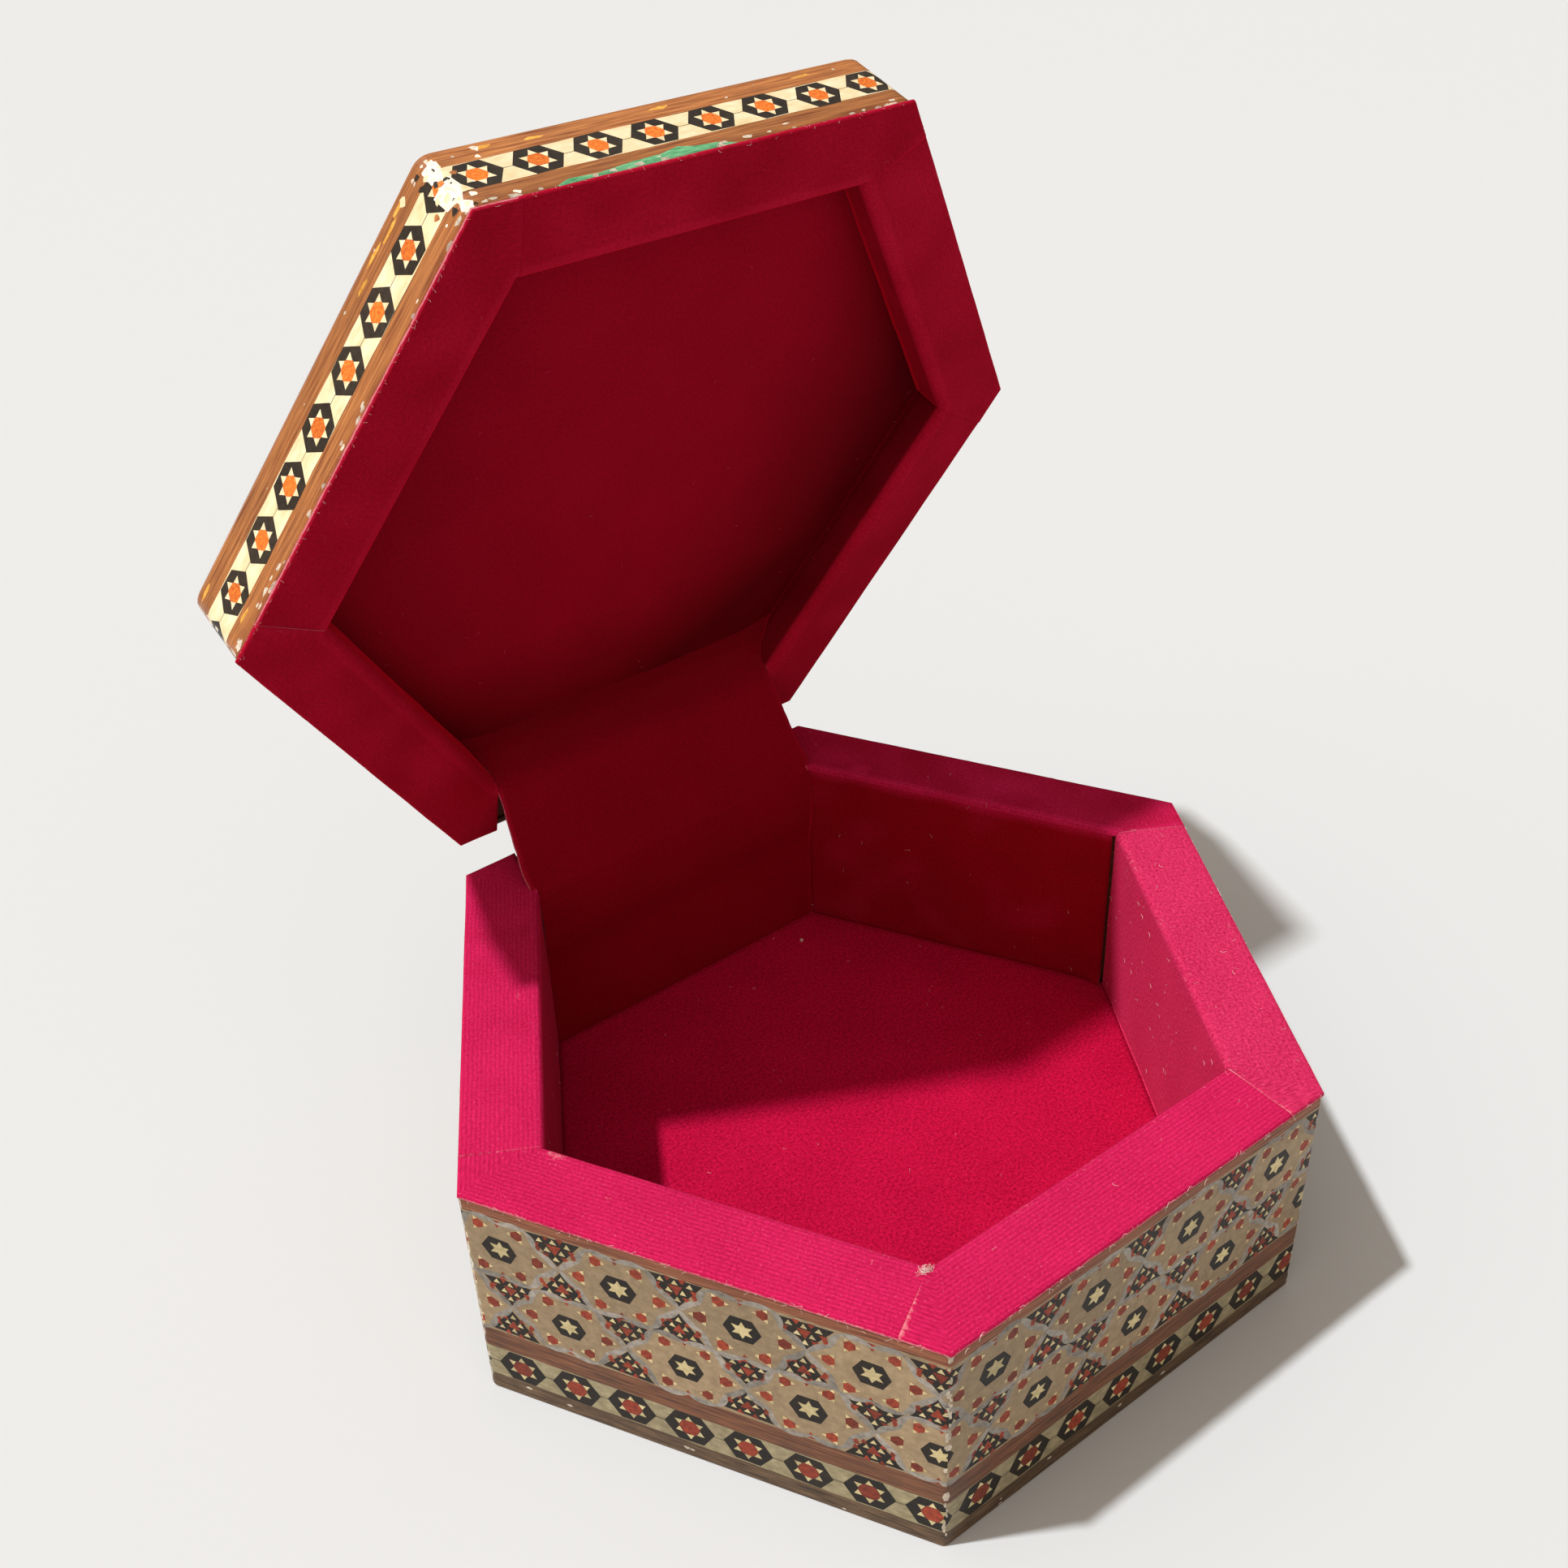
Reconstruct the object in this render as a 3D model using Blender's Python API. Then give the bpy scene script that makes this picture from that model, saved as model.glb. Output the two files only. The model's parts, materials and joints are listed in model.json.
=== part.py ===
"""A six-sided marquetry jewelry box with a velvet lining, its hinged lid standing open.

Lengths are in metres and +Z is up. The origin is the middle of the underside, and the hinge side
faces +Y. Each side of the hexagon is built in one frame, with +Y pointing out of the box, and then
turned into its place.
"""
import math

import bmesh
import bpy
from mathutils import Matrix, Vector

# Hexagon: the side is also the distance from the centre to a corner
BOX_SIDE = 0.0660
LID_INSET = 0.0010
LID_SIDE = BOX_SIDE - LID_INSET

# Heights
BOX_HEIGHT = 0.0386
FLOOR_HEIGHT = 0.0068
LID_THICKNESS = 0.0132
RECESS_DEPTH = 0.0055

# Widths of the flat rims, measured square to a side
BOX_RIM_WIDTH = 0.0112
LID_RIM_WIDTH = 0.0110

# Sheet materials
VENEER = 0.0016
VELVET = 0.0008
FLAP_CLOTH = 0.0006

# Joints between pieces
GLUE_GAP = 0.0003
CLOSED_GAP = 0.0003

# Hinges
AXIS_BEHIND_BACK = 0.0030
OPEN_ANGLE = math.radians(73.6)
TAUT_FLAP_ANGLE = math.radians(78)
FLAP_POINTS = 9
HINGE_SPACING = 0.0280
LEAF_WIDTH = 0.0130
LEAF_REACH = 0.0077
LEAF_THICKNESS = 0.0008
BARREL_RADIUS = 0.0017
BORE_RADIUS = 0.00075
PIN_RADIUS = 0.0005
MIDDLE_KNUCKLE = 0.0044
ROUND_SIDES = 24

# Sides by name, and the turn about +Z that takes +Y to each side's outward direction
SIDES = {
    "rear": 0,
    "rear_left": 60,
    "front_left": 120,
    "front": 180,
    "front_right": 240,
    "rear_right": 300,
}
HINGE_SIDE = "rear"
HALF_CORNER = math.radians(30)

# Distances from the centre to a side, worked out from the sizes above
BOX_FACE = BOX_SIDE * math.cos(HALF_CORNER)
BOX_LINING = BOX_FACE - BOX_RIM_WIDTH
BOX_BOARD_INNER = BOX_LINING + VELVET + GLUE_GAP
BOX_BOARD_OUTER = BOX_FACE - VENEER - GLUE_GAP
LID_FACE = LID_SIDE * math.cos(HALF_CORNER)
LID_LINING = LID_FACE - LID_RIM_WIDTH
LID_BOARD_INNER = LID_LINING + VELVET + GLUE_GAP
LID_BOARD_OUTER = LID_FACE - VENEER - GLUE_GAP

# The flap is as wide as the lid's lining, less a gap
FLAP_WIDTH = 2 * LID_LINING * math.tan(HALF_CORNER) - GLUE_GAP

# Heights in the base
BOTTOM_BOARD_TOP = FLOOR_HEIGHT - VELVET - GLUE_GAP
LINING_FOOT = BOTTOM_BOARD_TOP + GLUE_GAP
BOARD_TOP = BOX_HEIGHT - VELVET - GLUE_GAP
LEAF_BOTTOM = BOARD_TOP + GLUE_GAP

# The hinge axis stands behind the back, level with the middle of a barrel on the base's leaf
AXIS_Y = BOX_FACE + AXIS_BEHIND_BACK
AXIS_Z = LEAF_BOTTOM + BARREL_RADIUS

# Heights in the lid, counted up from the lower face of its rim while it is closed
LID_CLOSED_Z = BOX_HEIGHT + CLOSED_GAP
LID_BOARD_BOTTOM = VELVET + GLUE_GAP
LID_BOARD_TOP = LID_THICKNESS - VENEER - GLUE_GAP
LID_LEAF_TOP = AXIS_Z + BARREL_RADIUS - LID_CLOSED_Z


def clear_scene():
    for old in list(bpy.data.objects):
        bpy.data.objects.remove(old, do_unlink=True)


def new_collection(name):
    collection = bpy.data.collections.new(name)
    bpy.context.scene.collection.children.link(collection)
    return collection


def new_material(name, colour, roughness, metallic=0.0):
    material = bpy.data.materials.new(name)
    material.use_nodes = True
    shader = material.node_tree.nodes["Principled BSDF"]
    shader.inputs["Base Color"].default_value = (*colour, 1.0)
    shader.inputs["Roughness"].default_value = roughness
    shader.inputs["Metallic"].default_value = metallic
    return material


def new_object(name, mesh, collection, material=None):
    thing = bpy.data.objects.new(name, mesh)
    collection.objects.link(thing)
    if material is not None and not mesh.materials:
        mesh.materials.append(material)
    return thing


def outline_mesh(name, points, length):
    """A closed outline of (outward, up) points, run along a side and centred on it."""
    curve = bpy.data.curves.new(name, "CURVE")
    curve.dimensions = "2D"
    curve.fill_mode = "BOTH"
    curve.extrude = length / 2
    spline = curve.splines.new("POLY")
    spline.points.add(len(points) - 1)
    for point, (outward, up) in zip(spline.points, points):
        point.co = (outward, up, 0, 1)
    spline.use_cyclic_u = True
    holder = bpy.data.objects.new(name, curve)
    bpy.context.scene.collection.objects.link(holder)
    depsgraph = bpy.context.evaluated_depsgraph_get()
    mesh = bpy.data.meshes.new_from_object(holder.evaluated_get(depsgraph))
    mesh.name = name
    bpy.data.objects.remove(holder)
    bpy.data.curves.remove(curve)
    # the outline's own X, Y and Z become outward, up and along the side
    turn = Matrix(((0, 0, 1, 0), (1, 0, 0, 0), (0, 1, 0, 0), (0, 0, 0, 1)))
    model = bmesh.new()
    model.from_mesh(mesh)
    bmesh.ops.remove_doubles(model, verts=model.verts, dist=1e-6)
    bmesh.ops.transform(model, matrix=turn, verts=model.verts)
    bmesh.ops.recalc_face_normals(model, faces=model.faces)
    model.to_mesh(mesh)
    model.free()
    return mesh


def cut_mitres(mesh):
    """Cut both ends along the planes through the hexagon's corners, half a glue gap short of them."""
    model = bmesh.new()
    model.from_mesh(mesh)
    for end in (1, -1):
        normal = Vector((end * math.cos(HALF_CORNER), -math.sin(HALF_CORNER), 0))
        geometry = model.verts[:] + model.edges[:] + model.faces[:]
        bmesh.ops.bisect_plane(model, geom=geometry, dist=1e-7, plane_co=normal * (-GLUE_GAP / 2),
                               plane_no=normal, clear_outer=True)
        open_edges = [edge for edge in model.edges if edge.is_boundary]
        bmesh.ops.holes_fill(model, edges=open_edges, sides=0)
    bmesh.ops.recalc_face_normals(model, faces=model.faces)
    model.to_mesh(mesh)
    model.free()


def strip_mesh(name, points):
    """A strip of one cross-section that fills one side of the hexagon, mitred at both ends."""
    mesh = outline_mesh(name, points, 2.5 * BOX_SIDE)
    cut_mitres(mesh)
    return mesh


def oblong(inner, outer, bottom, top):
    return [(inner, bottom), (outer, bottom), (outer, top), (inner, top)]


def hexagon_mesh(name, apothem, bottom, top):
    """A hexagonal board between two heights, with corners at +X and -X."""
    mesh = bpy.data.meshes.new(name)
    model = bmesh.new()
    radius = apothem / math.cos(HALF_CORNER)
    bmesh.ops.create_cone(model, cap_ends=True, segments=6, radius1=radius, radius2=radius,
                          depth=top - bottom)
    place = Matrix.Translation((0, 0, (top + bottom) / 2)) @ Matrix.Rotation(math.radians(90), 4, "Z")
    bmesh.ops.transform(model, matrix=place, verts=model.verts)
    model.to_mesh(mesh)
    model.free()
    return mesh


def add_box(model, low, high):
    """Add an axis-aligned box between two corners."""
    size = Vector(high) - Vector(low)
    middle = (Vector(high) + Vector(low)) / 2
    place = Matrix.Translation(middle) @ Matrix.Diagonal((*size, 1))
    bmesh.ops.create_cube(model, size=1, matrix=place)


def add_rod(model, radius, start, end):
    """Add a cylinder along X, centred on the origin's X axis."""
    place = Matrix.Translation(((start + end) / 2, 0, 0)) @ Matrix.Rotation(math.radians(90), 4, "Y")
    bmesh.ops.create_cone(model, cap_ends=True, segments=ROUND_SIDES, radius1=radius, radius2=radius,
                          depth=abs(end - start), matrix=place)


def mesh_from(name, build):
    mesh = bpy.data.meshes.new(name)
    model = bmesh.new()
    build(model)
    model.to_mesh(mesh)
    model.free()
    return mesh


def cut_away(target, cutter):
    cut = target.modifiers.new("cut", "BOOLEAN")
    cut.operation = "DIFFERENCE"
    cut.solver = "EXACT"
    cut.object = cutter


def join_to(target, other):
    join = target.modifiers.new("join", "BOOLEAN")
    join.operation = "UNION"
    join.solver = "EXACT"
    join.object = other


def new_guide(name, mesh, guides, parent=None, location=(0, 0, 0)):
    """An object that only shapes others."""
    guide = new_object(name, mesh, guides)
    guide.hide_render = True
    guide.display_type = "WIRE"
    guide.parent = parent
    guide.location = location
    return guide


def ring_of_strips(stem, points, material, collection, sides=SIDES, parent=None, lift=(0, 0, 0)):
    """One mitred strip for each named side, all sharing a mesh."""
    mesh = strip_mesh(stem, points)
    strips = {}
    for side in sides:
        strip = new_object(f"{stem}_{side}", mesh, collection, material)
        strip.parent = parent
        strip.location = lift
        strip.rotation_euler.z = math.radians(SIDES[side])
        strips[side] = strip
    return strips


def lined_sides():
    """The sides whose rim is covered by its own velvet: all but the hinge side."""
    return [side for side in SIDES if side != HINGE_SIDE]


def build_base(collection, wood, marquetry, velvet):
    bottom = hexagon_mesh("bottom_board", BOX_BOARD_INNER - GLUE_GAP, 0, BOTTOM_BOARD_TOP)
    new_object("bottom_board", bottom, collection, wood)
    ring_of_strips("wall_board", oblong(BOX_BOARD_INNER, BOX_BOARD_OUTER, 0, BOARD_TOP), wood, collection)
    ring_of_strips("khatam_side", oblong(BOX_FACE - VENEER, BOX_FACE, 0, BOARD_TOP), marquetry, collection)
    panel = hexagon_mesh("floor_velvet", BOX_LINING - GLUE_GAP, FLOOR_HEIGHT - VELVET, FLOOR_HEIGHT)
    new_object("floor_velvet", panel, collection, velvet)
    rim_and_wall = [
        (BOX_LINING, LINING_FOOT),
        (BOX_LINING + VELVET, LINING_FOOT),
        (BOX_LINING + VELVET, BOX_HEIGHT - VELVET),
        (BOX_FACE, BOX_HEIGHT - VELVET),
        (BOX_FACE, BOX_HEIGHT),
        (BOX_LINING, BOX_HEIGHT),
    ]
    ring_of_strips("rim_velvet", rim_and_wall, velvet, collection, lined_sides())


def build_lid(collection, guides, wood, marquetry, velvet, hinge):
    """The lid, built closed around the hinge empty, which then turns it open."""
    lift = (0, -AXIS_Y, LID_CLOSED_Z - AXIS_Z)
    place = {"parent": hinge, "lift": lift}

    def panel(name, apothem, bottom, top, material):
        board = new_object(name, hexagon_mesh(name, apothem, bottom, top), collection, material)
        board.parent = hinge
        board.location = lift

    frame = oblong(LID_BOARD_INNER, LID_BOARD_OUTER, LID_BOARD_BOTTOM, LID_BOARD_TOP)
    edge = oblong(LID_FACE - VENEER, LID_FACE, LID_BOARD_BOTTOM, LID_THICKNESS)
    frames = ring_of_strips("lid_frame", frame, wood, collection, **place)
    edges = ring_of_strips("lid_khatam_side", edge, marquetry, collection, **place)
    inner = LID_BOARD_INNER - GLUE_GAP
    recess_velvet_back = RECESS_DEPTH + VELVET
    panel("lid_recess_velvet", inner, RECESS_DEPTH, recess_velvet_back, velvet)
    panel("lid_top_board", inner, recess_velvet_back + GLUE_GAP, LID_BOARD_TOP, wood)
    panel("lid_khatam_top", LID_BOARD_OUTER, LID_BOARD_TOP + GLUE_GAP, LID_THICKNESS, marquetry)
    lining_end = RECESS_DEPTH - GLUE_GAP
    rim_and_wall = [
        (LID_LINING, 0),
        (LID_FACE, 0),
        (LID_FACE, VELVET),
        (LID_LINING + VELVET, VELVET),
        (LID_LINING + VELVET, lining_end),
        (LID_LINING, lining_end),
    ]
    ring_of_strips("lid_rim_velvet", rim_and_wall, velvet, collection, lined_sides(), **place)
    for side in (-1, 1):
        cutter = leaf_pocket(side, guides, hinge)
        cut_away(frames[HINGE_SIDE], cutter)
        cut_away(edges[HINGE_SIDE], cutter)


def leaf_pocket(side, guides, hinge):
    """The pocket that lets the lid's hinge leaf into the hinge side of the frame."""
    half = LEAF_WIDTH / 2 + GLUE_GAP
    front = BOX_FACE - LEAF_REACH - GLUE_GAP - AXIS_Y
    low = LID_CLOSED_Z - AXIS_Z - GLUE_GAP
    high = LID_CLOSED_Z + LID_LEAF_TOP + GLUE_GAP - AXIS_Z
    middle = side * HINGE_SPACING / 2
    mesh = mesh_from("leaf_pocket", lambda model: add_box(model, (middle - half, front, low),
                                                          (middle + half, 0, high)))
    name = "leaf_pocket_left" if side < 0 else "leaf_pocket_right"
    return new_guide(name, mesh, guides, hinge)


def leaf_parts(flat_low, flat_high, knuckles):
    """Plate, knuckles and bore of a leaf around the hinge axis, for a plate below or above the axis."""
    half = LEAF_WIDTH / 2
    front = BOX_FACE - LEAF_REACH - AXIS_Y
    plate_end = -BARREL_RADIUS - GLUE_GAP

    def plate(model):
        add_box(model, (-half, front, flat_low), (half, plate_end, flat_high))

    def tongues(model):
        for start, end in knuckles:
            add_box(model, (start, plate_end - GLUE_GAP, flat_low), (end, 0, flat_high))

    def barrels(model):
        for start, end in knuckles:
            add_rod(model, BARREL_RADIUS, start, end)

    def bore(model):
        add_rod(model, BORE_RADIUS, -LEAF_WIDTH, LEAF_WIDTH)

    return plate, tongues, barrels, bore


def build_leaf(name, collection, guides, brass, parent, location, flat_low, flat_high, knuckles):
    plate, tongues, barrels, bore = leaf_parts(flat_low, flat_high, knuckles)
    leaf = new_object(name, mesh_from(name, plate), collection, brass)
    leaf.parent = parent
    leaf.location = location
    for part, build in (("tongues", tongues), ("barrels", barrels)):
        join_to(leaf, new_guide(f"{name}_{part}", mesh_from(part, build), guides, parent, location))
    cut_away(leaf, new_guide(f"{name}_bore", mesh_from("bore", bore), guides, parent, location))


def build_hinges(collection, guides, brass, hinge):
    half = LEAF_WIDTH / 2
    middle = MIDDLE_KNUCKLE / 2
    outer_knuckles = [(-half, -middle - GLUE_GAP), (middle + GLUE_GAP, half)]
    pin_mesh = mesh_from("hinge_pin", lambda model: add_rod(model, PIN_RADIUS, -half, half))
    for side, word in ((-1, "left"), (1, "right")):
        across = side * HINGE_SPACING / 2
        axis_place = (across, AXIS_Y, AXIS_Z)
        build_leaf(f"hinge_base_leaf_{word}", collection, guides, brass, None, axis_place,
                   -BARREL_RADIUS, LEAF_THICKNESS - BARREL_RADIUS, outer_knuckles)
        build_leaf(f"hinge_lid_leaf_{word}", collection, guides, brass, hinge, (across, 0, 0),
                   BARREL_RADIUS - LEAF_THICKNESS, BARREL_RADIUS, [(-middle, middle)])
        pin = new_object(f"hinge_pin_{word}", pin_mesh, collection, brass)
        pin.location = axis_place


def opened(outward, up, angle):
    """Where a point of the closed lid's section stands once the lid is open by an angle."""
    across = outward - AXIS_Y
    above = LID_CLOSED_Z + up - AXIS_Z
    cosine = math.cos(angle)
    sine = math.sin(angle)
    return Vector((AXIS_Y + cosine * across + sine * above, AXIS_Z - sine * across + cosine * above))


def bridge_outline():
    """Section of the slack cloth between the two inner edges: a bow that is taut at the widest angle."""
    half_cloth = FLAP_CLOTH / 2
    start = Vector((BOX_LINING + half_cloth, BOX_HEIGHT))
    end = opened(LID_LINING + half_cloth, -GLUE_GAP, OPEN_ANGLE)
    taut_end = opened(LID_LINING + half_cloth, -GLUE_GAP, TAUT_FLAP_ANGLE)
    chord = (end - start).length
    slack = (taut_end - start).length - chord
    along = (end - start) / chord
    across = Vector((along.y, -along.x))
    sag = math.sqrt(slack * chord * 3 / 8)
    near, far = [], []
    for step in range(FLAP_POINTS):
        share = step / (FLAP_POINTS - 1)
        middle = start + along * chord * share + across * 4 * sag * share * (1 - share)
        slope = 4 * sag * (1 - 2 * share) / chord
        square = (across - along * slope).normalized()
        near.append(middle - square * half_cloth)
        far.append(middle + square * half_cloth)
    return [tuple(point) for point in near + far[::-1]]


def build_flap(collection, velvet, hinge):
    in_base = oblong(BOX_LINING, BOX_LINING + FLAP_CLOTH, LINING_FOOT, BOX_HEIGHT - GLUE_GAP)
    new_object("flap_in_base", strip_mesh("flap_in_base", in_base), collection, velvet)
    bridge = outline_mesh("flap_bridge", bridge_outline(), FLAP_WIDTH)
    new_object("flap_bridge", bridge, collection, velvet)
    in_lid = oblong(LID_LINING, LID_LINING + FLAP_CLOTH, 0, RECESS_DEPTH - GLUE_GAP)
    glued = new_object("flap_in_lid", strip_mesh("flap_in_lid", in_lid), collection, velvet)
    glued.parent = hinge
    glued.location = (0, -AXIS_Y, LID_CLOSED_Z - AXIS_Z)


def new_hinge_empty(collection):
    hinge = bpy.data.objects.new("lid_hinge", None)
    hinge.empty_display_size = 0.01
    hinge.location = (0, AXIS_Y, AXIS_Z)
    hinge.rotation_euler.x = -OPEN_ANGLE
    collection.objects.link(hinge)
    return hinge


def main():
    clear_scene()
    collection = new_collection("marquetry_jewelry_box")
    guides = new_collection("guides")
    wood = new_material("walnut", (0.20, 0.10, 0.05), 0.6)
    marquetry = new_material("khatam", (0.30, 0.17, 0.07), 0.3)
    velvet = new_material("crimson_velvet", (0.22, 0.005, 0.015), 0.9)
    brass = new_material("brass", (0.65, 0.45, 0.15), 0.35, 1.0)
    hinge = new_hinge_empty(collection)
    build_base(collection, wood, marquetry, velvet)
    build_lid(collection, guides, wood, marquetry, velvet, hinge)
    build_hinges(collection, guides, brass, hinge)
    build_flap(collection, velvet, hinge)


main()
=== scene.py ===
# %% [markdown]
# # A six-sided khatam jewelry box
# Khatam is inlaid marquetry: thin rods of dyed wood and bone are glued into bundles, sawn across and
# laid as a sheet on a plain box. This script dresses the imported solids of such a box. The boards and
# hinges stay as they are and only get a finish. The marquetry sheets and the velvet are built again
# with the detail that a solid leaves out, each in the place of the solid that it stands for.

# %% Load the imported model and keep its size
import json
import math
import random

import bmesh
import bpy
from mathutils import Matrix, Vector, noise
from mathutils.geometry import delaunay_2d_cdt

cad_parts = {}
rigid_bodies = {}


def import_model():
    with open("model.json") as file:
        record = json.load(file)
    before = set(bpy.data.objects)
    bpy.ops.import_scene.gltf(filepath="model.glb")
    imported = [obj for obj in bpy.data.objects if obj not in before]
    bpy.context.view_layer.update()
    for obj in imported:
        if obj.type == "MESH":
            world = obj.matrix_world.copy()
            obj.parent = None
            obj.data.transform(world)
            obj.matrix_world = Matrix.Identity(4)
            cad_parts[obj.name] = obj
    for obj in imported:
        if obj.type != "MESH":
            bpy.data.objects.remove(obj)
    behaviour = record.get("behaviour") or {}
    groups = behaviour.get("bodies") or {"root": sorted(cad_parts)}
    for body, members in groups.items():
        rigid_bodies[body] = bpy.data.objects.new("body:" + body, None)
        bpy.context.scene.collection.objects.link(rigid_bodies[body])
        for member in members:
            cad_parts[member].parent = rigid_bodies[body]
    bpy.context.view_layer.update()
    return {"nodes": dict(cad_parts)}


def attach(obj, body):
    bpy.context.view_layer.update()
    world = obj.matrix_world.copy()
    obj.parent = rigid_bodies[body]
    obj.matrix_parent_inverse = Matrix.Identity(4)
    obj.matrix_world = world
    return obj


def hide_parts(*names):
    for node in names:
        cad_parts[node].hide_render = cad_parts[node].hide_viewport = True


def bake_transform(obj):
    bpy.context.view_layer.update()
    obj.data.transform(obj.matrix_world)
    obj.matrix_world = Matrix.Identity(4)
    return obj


# unless it is given a seed, noise_vector starts from the clock, and no two runs would be alike
noise.seed_set(7)
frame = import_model()

# %% [markdown]
# ## Sizes
# The pieces are drawn in millimetres, because every size of this craft is a small number of them, and
# turned to metres once, when a mesh is placed. The sizes are the solids' own, so nothing drifts.

# %% Sizes of the box in millimetres
MM = 0.001
HALF_CORNER = math.radians(30)
TAN_HALF = math.tan(HALF_CORNER)
BOX_FACE = 66.0 * math.cos(HALF_CORNER)
RIM_WIDTH = 11.2
BOX_LINING = BOX_FACE - RIM_WIDTH
LID_FACE = 65.0 * math.cos(HALF_CORNER)
LID_RIM_WIDTH = 11.0
LID_LINING = LID_FACE - LID_RIM_WIDTH
BOX_HEIGHT = 38.6
FLOOR_HEIGHT = 6.8
LINING_FOOT = 6.0
LID_THICKNESS = 13.2
RECESS_DEPTH = 5.5
VENEER = 1.6
LID_CLOSED_Z = 38.9
AXIS_Y = BOX_FACE + 3.0
AXIS_Z = 39.5
OPEN_ANGLE = math.radians(73.6)
SIDES = {"rear": 0, "rear_left": 60, "front_left": 120, "front": 180, "front_right": 240, "rear_right": 300}
LINED_SIDES = [side for side in SIDES if side != "rear"]

# %% Places: the base as it stands, the lid turned open about its hinge
to_metres = Matrix.Scale(MM, 4)
axis_point = Vector((0, AXIS_Y, AXIS_Z))
opened = (Matrix.Translation(axis_point) @ Matrix.Rotation(-OPEN_ANGLE, 4, "X")
          @ Matrix.Translation(-axis_point))
lid_place = opened @ Matrix.Translation((0, 0, LID_CLOSED_Z))
lid_upside_down = lid_place @ Matrix.Rotation(math.pi, 4, "X")


def turned(degrees):
    return Matrix.Rotation(math.radians(degrees), 4, "Z")


print("lid's front edge at rest, mm", [round(x, 1) for x in lid_place @ Vector((0, -LID_FACE, 0))])

# %% [markdown]
# ## Camera
# The photograph was taken from above the front left corner, turned a little about its own axis. The
# numbers come from matching the corners of the box. The small shift stands for the photograph's crop.

# %% Camera at the photograph's angle
VIEW_AZIMUTH = math.radians(-36.17)
VIEW_ELEVATION = math.radians(33.87)
VIEW_ROLL = math.radians(-2.07)
VIEW_DISTANCE = 271.56
VIEW_AIM = Vector((0, 0, 19.8))
VIEW_OFFSET_RIGHT = -9.568
VIEW_OFFSET_UP = 51.30
LENS = 41.305
SENSOR_WIDTH = 36
SHIFT_UP = -0.0342

back = Vector((math.sin(VIEW_AZIMUTH) * math.cos(VIEW_ELEVATION),
               -math.cos(VIEW_AZIMUTH) * math.cos(VIEW_ELEVATION), math.sin(VIEW_ELEVATION)))
right = Vector((math.cos(VIEW_AZIMUTH), math.sin(VIEW_AZIMUTH), 0))
up = back.cross(right)
rolled_right = math.cos(VIEW_ROLL) * right + math.sin(VIEW_ROLL) * up
rolled_up = -math.sin(VIEW_ROLL) * right + math.cos(VIEW_ROLL) * up
eye = (VIEW_AIM + back * VIEW_DISTANCE + right * VIEW_OFFSET_RIGHT + up * VIEW_OFFSET_UP) * MM

camera_data = bpy.data.cameras.new("photo_camera")
camera_data.lens = LENS
camera_data.sensor_width = SENSOR_WIDTH
camera_data.shift_y = SHIFT_UP
camera_data.clip_start = 0.01
camera = bpy.data.objects.new("photo_camera", camera_data)
bpy.context.scene.collection.objects.link(camera)
axes = Matrix((rolled_right, rolled_up, back)).transposed().to_4x4()
camera.matrix_world = Matrix.Translation(eye) @ axes
bpy.context.scene.camera = camera
print("camera at", [round(x, 4) for x in eye])

# %% [markdown]
# ## Nodes and colours
# One small function adds a node with its settings and links. Colours are written as sRGB hex, as a
# colour picker gives them, and one function turns them to the linear values that shaders work in.


# %% Node and colour helpers
MATH = "ShaderNodeMath"
MIX = "ShaderNodeMix"
NOISE = "ShaderNodeTexNoise"
MAP_RANGE = "ShaderNodeMapRange"


def linear(hex_colour):
    values = []
    for start in (1, 3, 5):
        value = int(hex_colour[start:start + 2], 16) / 255
        values.append(value / 12.92 if value <= 0.04045 else ((value + 0.055) / 1.055) ** 2.4)
    return (*values, 1.0)


def add_node(tree, kind, inputs=None, **settings):
    """Add a node, set its properties, and fill or link its inputs by name or number."""
    made = tree.nodes.new(kind)
    for name, value in settings.items():
        setattr(made, name, value)
    for key, value in (inputs or {}).items():
        if isinstance(value, bpy.types.NodeSocket):
            tree.links.new(value, made.inputs[key])
        else:
            made.inputs[key].default_value = value
    return made


def start_material(name):
    material = bpy.data.materials.new(name)
    material.use_nodes = True
    return material, material.node_tree, material.node_tree.nodes["Principled BSDF"]


# %% [markdown]
# ## Lacquered woods
# Every piece of the inlay is wood or bone under one coat of clear lacquer. The woods share a recipe:
# streaks of grain that run along the sheet, a tone that differs from piece to piece, a little dirt,
# and a coat that gives the gloss. The grain is read from the sheet's own UV map, which holds
# millimetres along and up the face, so it turns with each side of the hexagon.


# %% Recipe for the lacquered pieces
DIRT = "#4a3a2c"


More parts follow.
